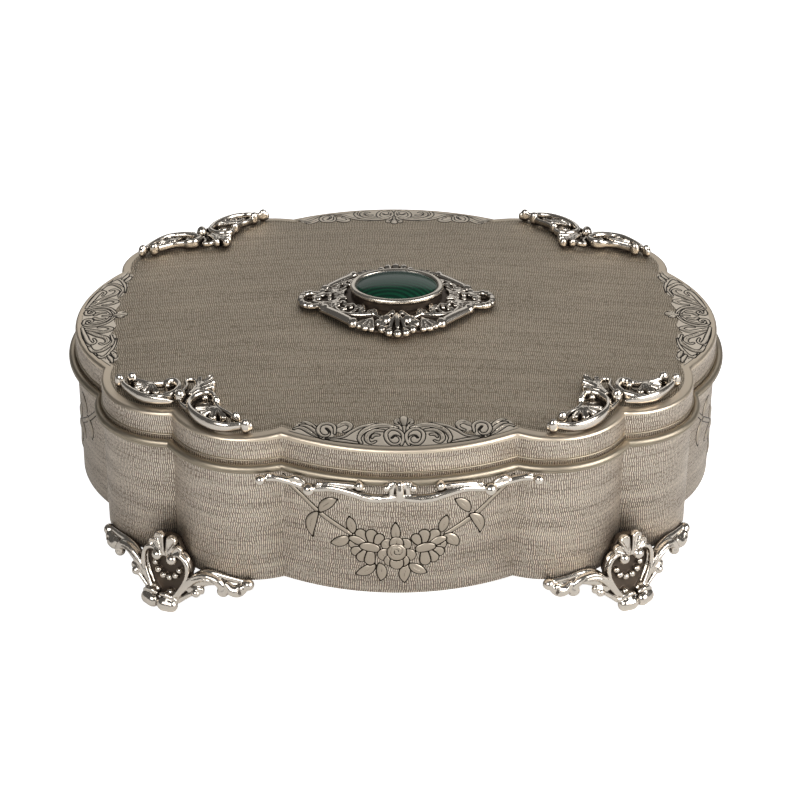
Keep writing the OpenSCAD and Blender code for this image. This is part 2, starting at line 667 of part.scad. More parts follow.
module thumb_piece() color(bright_silver) difference() {
    thumb_casting();
    translate([0, 0, thumb_z - thumb_height]) linear_extrude(lid_z - thumb_z + thumb_height)
        front_lobes(moulding_out + lid_fit_gap);
    translate([0, 0, lid_z - cut]) linear_extrude(moulding_radius + cast_gap + cut)
        front_lobes(moulding_out + cast_gap);
    translate([0, 0, lid_z]) linear_extrude(lid_height) front_lobes(cast_gap);
}

module front_lobes(grow) {
    for (i = [before(0), 0, 1])
        translate(lobes[i][0]) circle(lobes[i][1] + grow, $fn = front_arc_facets);
}

// Hinge, behind the back lobe. Five knuckles: three on the body, two on the lid.
hinge_y = half_depth + moulding_out + moulding_gap + knuckle_radius;
hinge_z = joint_z + lid_gap / 2;
knuckles = 5;
knuckle_pitch = hinge_length / knuckles;
leaf_front_share = 0.9;
leaf_front = hinge_y - knuckle_radius * leaf_front_share;
bore_radius = pin_radius + pin_gap;
back_lobe = lobes[6];

module knuckle(i) {
    translate([-hinge_length / 2 + i * knuckle_pitch + knuckle_gap / 2, hinge_y, hinge_z])
        rotate([0, 90, 0]) cylinder(h = knuckle_pitch - knuckle_gap, r = knuckle_radius, $fn = wire_facets);
}

module pin_bore() {
    translate([-hinge_length, hinge_y, hinge_z]) rotate([0, 90, 0])
        cylinder(h = 2 * hinge_length, r = bore_radius, $fn = wire_facets);
}

// Strip behind the moulding, and the block that seats it on the curved wall past the moulding
module leaf(up, own) {
    bearer_z = moulding_radius + moulding_gap;
    low = up > 0 ? hinge_z + bearer_z : hinge_z - leaf_height;
    for (i = [0:knuckles - 1]) if (i % 2 == own) {
        knuckle(i);
        translate([-hinge_length / 2 + i * knuckle_pitch + knuckle_gap / 2, leaf_front,
                   up > 0 ? hinge_z : hinge_z - leaf_height])
            cube([knuckle_pitch - knuckle_gap, leaf_sheet, leaf_height]);
    }
    difference() {
        translate([-hinge_length / 2 + knuckle_gap / 2, half_depth - front_lobe_bulge,
                   up > 0 ? low + knuckle_radius - bearer_z + knuckle_gap : low])
            cube([hinge_length - knuckle_gap, leaf_front + leaf_sheet - half_depth + front_lobe_bulge,
                  leaf_height - knuckle_radius - knuckle_gap]);
        translate([back_lobe[0].x, back_lobe[0].y, foot_height])
            cylinder(h = body_height + lid_height, r = back_lobe[1] + solder_gap, $fn = arc_facets);
    }
}

module hinge_leaf_body() color(bright_silver) difference() {
    leaf(-1, 0);
    pin_bore();
}

module hinge_leaf_lid() color(bright_silver) difference() {
    leaf(1, 1);
    pin_bore();
}

pin_head = 0.6;
module hinge_pin() color(bright_silver) {
    reach = hinge_length / 2 - knuckle_gap / 2 + solder_gap;
    translate([-reach - pin_head, hinge_y, hinge_z]) rotate([0, 90, 0])
        cylinder(h = 2 * (reach + pin_head), r = pin_radius, $fn = wire_facets);
    for (side = [1, -1])
        translate([side > 0 ? reach : -reach - pin_head, hinge_y, hinge_z]) rotate([0, 90, 0])
            cylinder(h = pin_head, r = (pin_radius + knuckle_radius) / 2, $fn = wire_facets);
}

body_wall();
bottom_plate();
rim_moulding();
locating_collar();
base_pad();
wall_lining();
foot(-1, -1);  // foot_front_left
foot(1, -1);  // foot_front_right
foot(-1, 1);  // foot_back_left
foot(1, 1);  // foot_back_right
hinge_leaf_body();
hinge_pin();
lid_band();
lid_top();
lid_moulding();
lid_lining();
hinge_leaf_lid();
thumb_piece();
corner_mount(-1, -1);  // corner_mount_front_left
corner_mount(1, -1);  // corner_mount_front_right
corner_mount(-1, 1);  // corner_mount_back_left
corner_mount(1, 1);  // corner_mount_back_right
plaque();
collet();
stone_bed();
cabochon();
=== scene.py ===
"""Footed silver jewellery casket: chased lobed body, domed hinged lid and a malachite cabochon.

Every length in the construction is in millimetres and is turned to metres where a mesh is made.
"""

import logging
import math
from dataclasses import dataclass, field
from enum import Enum
from typing import Callable, Sequence

import bpy
import numpy as np
from bpy.types import Material, Node, NodeSocket, NodeTree, Object
from mathutils import Matrix, Vector

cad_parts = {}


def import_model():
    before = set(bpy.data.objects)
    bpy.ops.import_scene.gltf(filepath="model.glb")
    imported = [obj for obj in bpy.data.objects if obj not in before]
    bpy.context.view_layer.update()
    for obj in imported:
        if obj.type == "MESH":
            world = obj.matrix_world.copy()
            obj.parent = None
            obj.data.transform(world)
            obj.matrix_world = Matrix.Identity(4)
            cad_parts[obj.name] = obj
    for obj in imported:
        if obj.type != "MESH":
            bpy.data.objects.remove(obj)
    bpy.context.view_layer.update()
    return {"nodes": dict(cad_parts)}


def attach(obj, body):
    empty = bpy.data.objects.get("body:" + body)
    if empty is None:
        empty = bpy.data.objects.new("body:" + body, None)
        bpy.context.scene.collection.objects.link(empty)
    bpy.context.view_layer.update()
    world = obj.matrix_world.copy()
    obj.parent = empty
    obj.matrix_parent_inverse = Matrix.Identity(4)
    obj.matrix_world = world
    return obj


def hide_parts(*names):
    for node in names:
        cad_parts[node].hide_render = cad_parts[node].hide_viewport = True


log = logging.getLogger("casket")

MM = 0.001
FAR = 50.0  # mm, beyond the reach of every carved shape and of the lid's edge
WHITE = "#ffffff"
LOBES = 12

Row = Sequence[float]
Rows = Sequence[Row]
Carry = Callable[[np.ndarray], np.ndarray]  # from points to points, or to a number for each

# Kinds of node that come back
MATH, VECTOR, EASE = "ShaderNodeMath", "ShaderNodeVectorMath", "ShaderNodeMapRange"
NOISE, MIX, BUMP = "ShaderNodeTexNoise", "ShaderNodeMix", "ShaderNodeBump"
COORDINATES = "ShaderNodeTexCoord"


# Plan of the casket


@dataclass(frozen=True)
class Plan:
    """Outline of twelve convex lobes that meet in twelve notches, and the lid's dome."""

    half_length: float = 112.0
    half_depth: float = 90.0
    front_notch: tuple[float, float] = (38.0, 80.0)
    corner_notch: tuple[float, float] = (74.0, 66.0)
    end_notch: tuple[float, float] = (99.0, 36.0)
    bulges: tuple[float, ...] = (10.0, 8.0, 9.0, 13.0, 9.0, 8.0)
    apex: float = 77.5
    rise: float = 6.0

    def notches(self) -> np.ndarray:
        """Return the twelve notches, counter-clockwise from the front left.

        Returns:
            Points (12, 2).
        """
        f, c, e = (np.array(p) for p in (self.front_notch, self.corner_notch, self.end_notch))
        right = [f * (1, -1), c * (1, -1), e * (1, -1), e, c, f]
        return np.array([f * (-1, -1)] + right + [p * (-1, 1) for p in (f, c, e)]
                        + [e * (-1, -1), c * (-1, -1)])

    def circles(self) -> tuple[np.ndarray, np.ndarray]:
        """Return the centres (12, 2) and radii (12,) of the lobes.

        Returns:
            The centres and the radii, each from the front lobe on, counter-clockwise.
        """
        start = self.notches()
        chord = np.roll(start, -1, axis=0) - start
        length = np.linalg.norm(chord, axis=1)
        outward = np.stack([chord[:, 1], -chord[:, 0]], axis=1) / length[:, None]
        bulge = np.array(self.bulges * 2)
        radius = (length ** 2 / 4 + bulge ** 2) / (2 * bulge)
        return start + chord / 2 - outward * (radius - bulge)[:, None], radius

    def ring(self, grow: float, per_lobe: int) -> np.ndarray:
        """Closed line round the outline.

        Args:
            grow: distance outside the outline; negative is inside.
            per_lobe: points on each lobe.

        Returns:
            Points (LOBES * per_lobe, 2), counter-clockwise from the front left notch.
        """
        centre, radius = self.circles()
        radius = radius + grow
        before, reach = np.roll(centre, 1, axis=0), np.roll(radius, 1)
        gap = centre - before
        span = np.linalg.norm(gap, axis=1)
        along = (reach ** 2 - radius ** 2 + span ** 2) / (2 * span)
        side = np.sqrt(np.maximum(reach ** 2 - along ** 2, 0.0))
        unit = gap / span[:, None]
        turned = np.stack([unit[:, 1], -unit[:, 0]], axis=1)
        middle = before + unit * along[:, None]
        choice = np.stack([middle + turned * side[:, None], middle - turned * side[:, None]])
        near = np.linalg.norm(choice - self.notches()[None], axis=2).argmin(axis=0)
        corner = choice[near, np.arange(LOBES)]
        points = []
        for i in range(LOBES):
            first, last = corner[i] - centre[i], corner[(i + 1) % LOBES] - centre[i]
            a = math.atan2(first[1], first[0])
            turn = (math.atan2(last[1], last[0]) - a) % (2 * math.pi)
            angle = a + turn * np.arange(per_lobe) / per_lobe
            points.append(centre[i] + radius[i] * np.stack([np.cos(angle), np.sin(angle)], axis=1))
        return np.concatenate(points)

    def dome(self, x: np.ndarray, y: np.ndarray) -> np.ndarray:
        """Return the height of the lid's upper surface over the plan.

        Args:
            x: places along the casket.
            y: places across it.

        Returns:
            The heights.
        """
        long_r = (self.half_length ** 2 + self.rise ** 2) / (2 * self.rise)
        deep_r = (self.half_depth ** 2 + self.rise ** 2) / (2 * self.rise)
        reach = long_r - deep_r + np.sqrt(deep_r ** 2 - y * y)
        return self.apex - long_r + np.sqrt(reach ** 2 - x * x)

    def gap(self, x: np.ndarray, y: np.ndarray) -> np.ndarray:
        """Return how far points stand outside the outline; negative is inside."""
        away = [np.hypot(x - c[0], y - c[1]) - r for c, r in zip(*self.circles())]
        return np.minimum.reduce(away)


@dataclass(frozen=True)
class Levels:
    """Heights above the table that the pieces share."""

    bottom: float = 16.9
    pad: float = 18.7
    pad_top: float = 21.2
    lining_top: float = 53.7
    joint: float = 60.7
    lid: float = 60.8
    lid_shoulder: float = 70.3
    plate: float = 78.5
    collet_top: float = 85.2
    sheet: float = 1.2


PLAN = Plan()
LEVEL = Levels()


# Node trees and meshes


def linear(colour: str) -> tuple[float, float, float, float]:
    """Turn an sRGB hex colour to the linear values that the shader wants."""
    parts = [int(colour[i:i + 2], 16) / 255 for i in (1, 3, 5)]
    return (*[p / 12.92 if p <= 0.04045 else ((p + 0.055) / 1.055) ** 2.4 for p in parts], 1.0)


def add(tree: NodeTree, kind: str, feeds: dict | Sequence = (), **settings) -> Node:
    """Add a node with its settings and its links.

    Args:
        tree: node tree of a material, the world or a modifier.
        kind: the node's type name.
        feeds: what each input takes, by its name or number: a plain value, an sRGB hex colour, a
            socket, or a node, which gives its first output.
        settings: the node's own properties.

    Returns:
        The new node.
    """
    node = tree.nodes.new(kind)
    for name, value in settings.items():
        setattr(node, name, value)
    for key, value in feeds.items() if isinstance(feeds, dict) else enumerate(feeds):
        if isinstance(value, Node):
            value = value.outputs[0]
        if isinstance(value, NodeSocket):
            tree.links.new(value, node.inputs[key])
        else:
            is_colour = isinstance(value, str) and value.startswith("#")
            node.inputs[key].default_value = linear(value) if is_colour else value
    return node


def build_mesh(name: str, points: np.ndarray, faces: np.ndarray | list, sharp: float = 40.0,
               fields: dict[str, np.ndarray] | None = None) -> Object:
    """Make a mesh object at the origin from millimetre points.

    Args:
        name: the object's name.
        points: (n, 3) points in millimetres.
        faces: (m, 4) array of quads, or a list of faces of any size.
        sharp: edges steeper than this many degrees stay sharp.
        fields: a number or a vector for each point, by attribute name.

    Returns:
        The object, linked to the scene.
    """
    mesh = bpy.data.meshes.new(name)
    if isinstance(faces, np.ndarray):
        mesh.vertices.add(len(points))
        mesh.vertices.foreach_set("co", (points * MM).astype(np.float32).ravel())
        mesh.loops.add(faces.size)
        mesh.loops.foreach_set("vertex_index", faces.astype(np.int32).ravel())
        mesh.polygons.add(len(faces))
        mesh.polygons.foreach_set("loop_start", np.arange(0, faces.size, faces.shape[1], dtype=np.int32))
        mesh.update(calc_edges=True)
    else:
        mesh.from_pydata([tuple(p) for p in points * MM], [], faces)
    mesh.shade_smooth()
    mesh.set_sharp_from_angle(angle=math.radians(sharp))
    for key, values in (fields or {}).items():
        kind, part = ("FLOAT", "value") if values.ndim == 1 else ("FLOAT_VECTOR", "vector")
        layer = mesh.attributes.new(key, kind, "POINT")
        layer.data.foreach_set(part, values.astype(np.float32).ravel())
    obj = bpy.data.objects.new(name, mesh)
    bpy.context.scene.collection.objects.link(obj)
    return obj


def place(obj: Object, body: str, material: Material, nodes: Sequence[str] = ()) -> None:
    """Give a piece its material and body, and hide the CAD nodes that it replaces.

    Args:
        obj: the piece.
        body: the body that it rides on.
        material: its finish, unless its mesh has one.
        nodes: the CAD nodes that it replaces.
    """
    if not obj.data.materials:
        obj.data.materials.append(material)
    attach(obj, body)
    if nodes:
        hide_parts(*nodes)
    log.info("%s: %d faces on %s", obj.name, len(obj.data.polygons), body)


class Tree:
    """A Geometry Nodes tree with named inputs, and the modifier that runs it."""

    def __init__(self, name: str) -> None:
        """Open an empty tree with its geometry and material inputs.

        Args:
            name: the tree's name.
        """
        self.tree = bpy.data.node_groups.new(name, "GeometryNodeTree")
        self.tree.interface.new_socket("Geometry", in_out="OUTPUT", socket_type="NodeSocketGeometry")
        self.source = add(self.tree, "NodeGroupInput")
        self.take("Geometry", "NodeSocketGeometry")
        self.take("Material", "NodeSocketMaterial")

    def take(self, name: str, kind: str, value: object = None) -> NodeSocket:
        """Declare a named input and return its socket inside the tree.

        Args:
            name: the input's name.
            kind: its socket's type name.
            value: its default, if any.

        Returns:
            The socket that gives the input's value.
        """
        item = self.tree.interface.new_socket(name, in_out="INPUT", socket_type=kind)
        if value is not None:
            item.default_value = value
        return self.source.outputs[name]

    def close(self, geometry: Node) -> None:
        """End the tree in Realize Instances and Set Material.

        Args:
            geometry: the node whose first output is the result.
        """
        real = add(self.tree, "GeometryNodeRealizeInstances", (geometry,))
        dressed = add(self.tree, "GeometryNodeSetMaterial", {
            "Geometry": real, "Material": self.source.outputs["Material"]})
        add(self.tree, "NodeGroupOutput", (dressed,))

    def run(self, obj: Object, material: Material, sharp: float, **values) -> Object:
        """Run the tree on an object and keep its result as a plain mesh.

        Args:
            obj: the object whose mesh feeds the tree.
            material: the finish that the tree sets.
            sharp: edges steeper than this many degrees stay sharp.
            values: the named inputs' values, with _ for a space.

        Returns:
            The same object, with the resulting mesh and no modifier.
        """
        modifier = obj.modifiers.new(self.tree.name, "NODES")
        modifier.node_group = self.tree
        settings = {"Material": material, **{k.replace("_", " "): v for k, v in values.items()}}
        for item in self.tree.interface.items_tree:
            if item.in_out == "INPUT" and item.name in settings:
                modifier[item.identifier] = settings[item.name]
        obj.data.update()
        graph = bpy.context.evaluated_depsgraph_get()
        graph.update()
        mesh = bpy.data.meshes.new_from_object(obj.evaluated_get(graph))
        obj.modifiers.clear()
        old, obj.data = obj.data, mesh
        bpy.data.meshes.remove(old)
        mesh.name = obj.name
        mesh.shade_smooth()
        mesh.set_sharp_from_angle(angle=math.radians(sharp))
        return obj


class OutlineSweep(Tree):
    """Sweeps a closed profile round the outline, mitred at every notch.

    The tree is fed one mesh of loose points: the outline first, then the profile. Each outline
    point carries its lean, the way it moves for each millimetre outwards.
    """

    per_lobe = 40

    def __init__(self) -> None:
        """Build the tree."""
        super().__init__("outline sweep")
        tree, points = self.tree, self.source.outputs["Geometry"]
        made = {"path": self.take("Path Points", "NodeSocketInt", 480),
                "profile": self.take("Profile Points", "NodeSocketInt", 8),
                "index": add(tree, "GeometryNodeInputIndex")}
        # Every point of a grid is point i of the path and point j of the profile. A half or a
        # tenth more keeps a whole number from being cut down to the one below.
        for name, operation, *feeds in (
                ("rows", "ADD", "path", 1.0), ("columns", "ADD", "profile", 1.0),
                ("past index", "ADD", "index", 0.5), ("part", "DIVIDE", "past index", "columns"),
                ("i", "FLOOR", "part"), ("before", "MULTIPLY", "i", "columns"),
                ("j", "SUBTRACT", "index", "before"),
                ("on run", "ADD", "i", 0.1), ("on path", "MODULO", "on run", "path"),
                ("past j", "ADD", "j", 0.1), ("turned", "MODULO", "past j", "profile"),
                ("on profile", "ADD", "path", "turned"),
                ("past path", "ADD", "path", "j"), ("on girth", "ADD", "past path", 1.1)):
            made[name] = add(tree, MATH, [made.get(feed, feed) for feed in feeds], operation=operation)
        grid = add(tree, "GeometryNodeMeshGrid", {"Vertices X": made["rows"], "Vertices Y": made["columns"]})
        place_of = add(tree, "GeometryNodeInputPosition")
        read = {}
        for key, at, kind in (
                ("base", "on path", "FLOAT_VECTOR"), ("lean", "on path", "FLOAT_VECTOR"),
                ("run", "on run", "FLOAT"), ("shape", "on profile", "FLOAT_VECTOR"),
                ("girth", "on girth", "FLOAT")):
            source = place_of
            if key not in ("base", "shape"):
                source = add(tree, "GeometryNodeInputNamedAttribute", {"Name": key}, data_type=kind)
            read[key] = add(tree, "GeometryNodeSampleIndex", {
                "Geometry": points, "Value": source, "Index": made[at]}, data_type=kind)
        shape = add(tree, "ShaderNodeSeparateXYZ", (read["shape"],)).outputs
        out = add(tree, VECTOR, {0: read["lean"], "Scale": shape[0]}, operation="SCALE")
        up = add(tree, "ShaderNodeCombineXYZ", {2: shape[2]})
        spot = add(tree, VECTOR, (read["base"], out), operation="ADD")
        spot = add(tree, VECTOR, (spot, up), operation="ADD")
        moved = add(tree, "GeometryNodeSetPosition", {"Geometry": grid, "Position": spot})
        strip = add(tree, "ShaderNodeCombineXYZ", (read["run"], read["girth"]))
        strip = add(tree, "GeometryNodeFieldOnDomain", (strip,), data_type="FLOAT_VECTOR")
        stored = add(tree, "GeometryNodeStoreNamedAttribute", {
            "Geometry": moved, "Name": "UVMap", "Value": strip}, data_type="FLOAT2", domain="CORNER")
        merged = add(tree, "GeometryNodeMergeByDistance", {"Geometry": stored, "Distance": 1e-6})
        self.close(add(tree, "GeometryNodeFlipFaces", {"Mesh": merged}))

    def make(self, name: str, profile: Rows, material: Material, sharp: float = 40.0) -> Object:
        """Sweep one profile.

        Args:
            name: the piece's name.
            profile: closed profile of (distance outside the outline, height), anticlockwise
                with the outside of the casket to the right.
            material: its finish.
            sharp: edges steeper than this many degrees stay sharp.

        Returns:
            The piece as a plain mesh with a UV map of (run, girth) in metres.
        """
        base, shape = PLAN.ring(0.0, self.per_lobe), np.array(profile)
        count = len(base)
        edge = np.column_stack([shape[:, 0] / MM, np.zeros(len(shape)), shape[:, 1]])
        points = np.concatenate([np.column_stack([base, np.zeros(count)]), edge, edge[:2]])
        fields = {"run": np.zeros(len(points)), "girth": np.zeros(len(points)),
                  "lean": np.zeros((len(points), 3))}
        for key, line, start in (("run", base, 0), ("girth", shape, count + 1)):
            steps = np.linalg.norm(np.roll(line, -1, axis=0) - line, axis=1)
            fields[key][start:start + len(line) + 1] = np.concatenate([[0.0], np.cumsum(steps)]) * MM
        fields["lean"][:count, :2] = (PLAN.ring(1.0, self.per_lobe) - base) * MM
        obj = build_mesh(name, points, [], fields=fields)
        return self.run(obj, material, sharp, Path_Points=count, Profile_Points=len(shape))


# Cast and chased ornament


def soft_min(a: np.ndarray, b: np.ndarray, soft: float) -> np.ndarray:
    """Return the smaller of two fields with a fillet of size soft.

    Args:
        a: one field.
        b: the other.
        soft: size of the fillet, or 0 for none.

    Returns:
        The field.
    """
    if soft <= 0:
        return np.minimum(a, b)
    h = np.maximum(soft - np.abs(a - b), 0.0) / soft
    return np.minimum(a, b) - h * h * soft * 0.25


def smooth_line(points: np.ndarray, steps: int) -> np.ndarray:
    """Return a smooth curve (Catmull-Rom) through the rows of points.

    Args:
        points: rows of coordinates, with a radius in the last column or not.
        steps: pieces between two rows.

    Returns:
        Rows of the same kind, closer together.
    """
    if len(points) < 3 or steps < 2:
        return points
    p = np.vstack([points[0], points, points[-1]])
    a, b, c, d = p[:-3], p[1:-2], p[2:-1], p[3:]
    s = (np.arange(steps) / steps)[None, :, None]
    a, b, c, d = (q[:, None, :] for q in (a, b, c, d))
    curve = (2 * b + (c - a) * s + (2 * a - 5 * b + 4 * c - d) * s ** 2
             + (3 * b - 3 * c + d - a) * s ** 3) / 2
    return np.vstack([curve.reshape(-1, points.shape[1]), points[-1:]])


class Carving:
    """Wax for one casting: signed distances on a local grid, skinned as one closed surface."""

    margin = 2.0

    def __init__(self, low: Row, high: Row, step: Row) -> None:
        """Open an empty block between two corners with the given voxel size.

        Args:
            low: the block's lowest corner.
            high: its highest corner.
            step: size of a voxel along each axis.
        """
        self.low = np.array(low, float)
        self.step = np.array(step, float)
        count = np.ceil((np.array(high) - self.low) / self.step).astype(int) + 1
        self.axes = [self.low[k] + self.step[k] * np.arange(count[k]) for k in range(3)]
        self.value = np.full(tuple(count), FAR, np.float32)

    def window(self, low: np.ndarray, high: np.ndarray) -> tuple:
        """Return the slices of the grid between two corners and their coordinates.

        Args:
            low: one corner.
            high: the other.

        Returns:
            The slices, and one coordinate array for each axis, ready to broadcast.
        """
        cuts, axes = [], []
        for k in range(3):
            axis = self.axes[k]
            i = max(0, int((low[k] - self.low[k]) / self.step[k]))
            j = min(len(axis), int((high[k] - self.low[k]) / self.step[k]) + 2)
            cuts.append(slice(i, max(i, j)))
            shape = [1, 1, 1]
            shape[k] = -1
            axes.append(axis[cuts[k]].reshape(shape))
        return tuple(cuts), axes

    def merge(self, cuts: tuple, shape: np.ndarray, soft: float, carve: bool) -> None:
        """Join a shape to the wax, or carve it out.

        Args:
            cuts: slices of the grid that the shape covers.
            shape: the shape's field there.
            soft: size of the fillet.
            carve: take it away instead.
        """
        old = self.value[cuts]
        if carve:
            self.value[cuts] = -soft_min(-old, shape, soft)
        else:
            self.value[cuts] = soft_min(old, shape, soft)

    def stroke(self, points: Rows, soft: float, steps: int = 4, squash: Row = (1.0, 1.0, 1.0),
               carve: bool = False) -> None:
        """Lay a tapered round rod along a smooth curve.

        Args:
            points: rows of (x, y, z, radius).
            soft: size of the fillet where it joins the rest.
            steps: pieces between two points.
            squash: how much the rod's section is stretched along each axis.
            carve: take it away instead.
        """
        line = smooth_line(np.array(points, float), steps)
        scale = np.array(squash)
        reach = (line[:, 3].max() + self.margin) * np.maximum(scale, 1.0)
        cuts, _ = self.window(line[:, :3].min(0) - reach, line[:, :3].max(0) + reach)
        if any(c.start >= c.stop for c in cuts):
            return
        shape = np.full(self.value[cuts].shape, FAR, np.float32)
        pairs = [(line[0], line[0])] if len(line) == 1 else list(zip(line[:-1], line[1:]))
        for a, b in pairs:
            reach = (max(a[3], b[3]) + self.margin) * np.maximum(scale, 1.0)
            inner, at = self.window(np.minimum(a[:3], b[:3]) - reach, np.maximum(a[:3], b[:3]) + reach)
            local = tuple(slice(i.start - c.start, i.stop - c.start) for i, c in zip(inner, cuts))
            way = (b[:3] - a[:3]) / scale
            length = max(float(way @ way), 1e-9)
            away = [(at[k] - a[k]) / scale[k] for k in range(3)]
            share = np.clip((away[0] * way[0] + away[1] * way[1] + away[2] * way[2]) / length, 0, 1)
            gap = np.sqrt(sum((away[k] - share * way[k]) ** 2 for k in range(3)))
            gap = gap - (a[3] + share * (b[3] - a[3]))
            shape[local] = np.minimum(shape[local], gap)
        self.merge(cuts, shape, soft, carve)

    def ball(self, at: Row, radius: float, soft: float, squash: Row = (1.0, 1.0, 1.0)) -> None:
        """Set a ball."""
        self.stroke([(*at, radius)], soft, 1, squash)

    def petal(self, root: Row, tip: Row, lift: Row, soft: float, hollow: float = 0.55) -> None:
        """Lay a spoon-shaped petal with a raised rim.

        Args:
            root: (x, y, z, radius) where it starts.
            tip: (x, y, z, radius) where it ends.
            lift: direction that its hollow faces.
            soft: size of the fillet where it joins the rest.
            hollow: width of the hollow as a share of the petal's.
        """
        self.stroke([root, tip], soft)
        a, b = np.array(root, float), np.array(tip, float)
        up = np.array(lift, float)
        way = b[:3] - a[:3]
        start = a[:3] + 0.35 * way + up * (0.65 * a[3] + 0.35 * b[3]) * 0.95
        end = b[:3] + up * b[3] * 0.88 + 0.03 * way
        self.stroke([(*start, 0.6 * hollow * a[3]), (*end, hollow * b[3])], 0.12, carve=True)

    def limit(self, other: np.ndarray) -> None:
        """Keep only what lies inside another field."""
        self.value = np.maximum(self.value, other.astype(np.float32))

    def grid(self) -> list[np.ndarray]:
        """Return the coordinates of the grid, ready to broadcast."""
        return [axis.reshape([-1 if k == n else 1 for n in range(3)]) for k, axis in enumerate(self.axes)]

    def fill(self, shape: np.ndarray, soft: float = 0.2) -> None:
        """Join a field that covers the whole block."""
        self.value = soft_min(self.value, np.broadcast_to(shape, self.value.shape), soft).astype(np.float32)

    def sample(self, points: np.ndarray) -> np.ndarray:
        """Return the field at points, read between the voxels.

        Args:
            points: (n, 3) points.

        Returns:
            One value for each.
        """
        top = np.array(self.value.shape) - 1.001
        at = np.clip((points - self.low) / self.step, 0, top)
        base = at.astype(int)
        part = at - base
        total = np.zeros(len(points))
        for i in (0, 1):
            for j in (0, 1):
                for k in (0, 1):
                    weight = (np.abs(1 - i - part[:, 0]) * np.abs(1 - j - part[:, 1])
                              * np.abs(1 - k - part[:, 2]))
                    total += weight * self.value[base[:, 0] + i, base[:, 1] + j, base[:, 2] + k]
        return total

    def skin(self) -> tuple[np.ndarray, np.ndarray]:
        """Return the points and quads of the wax's surface (surface nets).

        Returns:
            Points (n, 3) in the wax's own coordinates, and quads (m, 4) of their numbers.
        """
        value = self.value
        value[[0, -1], :, :] = value[:, [0, -1], :] = value[:, :, [0, -1]] = FAR
        inside = value < 0
        n = np.array(value.shape)
        corners = [(i, j, k) for i in (0, 1) for j in (0, 1) for k in (0, 1)]

        def cell(grid: np.ndarray, c: tuple[int, int, int]) -> np.ndarray:
            """Return the grid's values at one corner of every cell."""
            return grid[c[0]:n[0] - 1 + c[0], c[1]:n[1] - 1 + c[1], c[2]:n[2] - 1 + c[2]]

        total = sum(cell(inside, c).astype(np.int8) for c in corners)
        mixed = (total > 0) & (total < 8)
        where = np.argwhere(mixed)
        number = np.full(mixed.shape, -1, np.int64)
        number[mixed] = np.arange(len(where))
        spot = np.zeros((len(where), 3))
        hits = np.zeros(len(where))
        for a in corners:
            for axis in range(3):
                if a[axis]:
                    continue
                b = tuple(1 if k == axis else a[k] for k in range(3))
                va, vb = cell(value, a)[mixed], cell(value, b)[mixed]
                cross = (va < 0) != (vb < 0)
                share = np.where(cross, va / np.where(cross, va - vb, 1.0), 0.0)
                for k in range(3):
                    spot[:, k] += np.where(cross, a[k] + (share if k == axis else 0.0), 0.0)
                hits += cross
        points = self.low + (where + spot / hits[:, None]) * self.step
        faces = []
        for axis in range(3):
            u, v = (axis + 1) % 3, (axis + 2) % 3
            first = [slice(None)] * 3
            second = [slice(None)] * 3
            first[axis], second[axis] = slice(0, n[axis] - 1), slice(1, n[axis])
            change = inside[tuple(first)] != inside[tuple(second)]
            at = np.argwhere(change)
            at = at[(at[:, u] > 0) & (at[:, v] > 0) & (at[:, u] < n[u] - 1) & (at[:, v] < n[v] - 1)]
            outward = inside[tuple(at.T)]
            ring = []
            for du, dv in ((-1, -1), (0, -1), (0, 0), (-1, 0)):
                c = at.copy()
                c[:, u] += du
                c[:, v] += dv
                ring.append(number[tuple(c.T)])
            quads = np.stack(ring, axis=1)
            quads[~outward] = quads[~outward][:, ::-1]
            faces.append(quads)
        return points, np.concatenate(faces)

    def recess(self, points: np.ndarray, ground: Carry, reach: Row) -> np.ndarray:
        """Tell how deep each point lies between its neighbours, from 0, open, to 1, enclosed.

        Args:
            points: points on the surface.
            ground: distance to the surface that carries the casting.
            reach: distances along the normal at which the field is read.

        Returns:
            One number for each point.
        """
        slope = np.stack([self.sample(points + off) - self.sample(points - off)
                          for off in np.diag(self.step * 0.8)], axis=1)
        slope /= np.linalg.norm(slope, axis=1)[:, None] + 1e-9
        total = np.zeros(len(points))
        for distance in reach:
            at = points + slope * distance
            room = np.minimum(self.sample(at), ground(at))
            total += np.clip(1 - room / distance, 0, 1)
        return total / len(reach)


def encloses(points: np.ndarray, faces: np.ndarray) -> bool:
    """Tell whether the quads of a closed surface face outwards."""
    a, b, c, d = (points[faces[:, k]] for k in range(4))
    return float(np.sum(np.cross(c - a, d - b) * (a + b + c + d))) > 0


def cast(wax: Carving, carries: dict[str, Carry], ground: Carry, reach: Row = (0.5, 1.0, 1.8),
         depth: Carry | None = None) -> list[Object]:
    """Skin a carving once and set a copy in each of its places.

    Args:
        wax: the carving.
        carries: for each copy's name, what turns the carving's own coordinates to millimetres
            on the casket.
        ground: distance to the surface that carries the casting.
        reach: distances at which the recess is read.
        depth: mm that a point lies below where the buffing wheel reaches.

    Returns:
        The pieces.
    """
    points, faces = wax.skin()
    deep = wax.recess(points, ground, reach)
    if depth is not None:
        deep = np.maximum(deep, np.clip(depth(points), 0, 1))
    made = []
    for name, carry in carries.items():
        spots = carry(points)
        turned = faces if encloses(spots, faces) else faces[:, ::-1]
        made.append(build_mesh(name, spots, turned, sharp=80.0, fields={"recess": deep}))
    return made


# Finishes


class Weave(Enum):
    """Which coordinates a chased ground follows."""

    STRIP = "UVMap"
    PLAN = "Object"


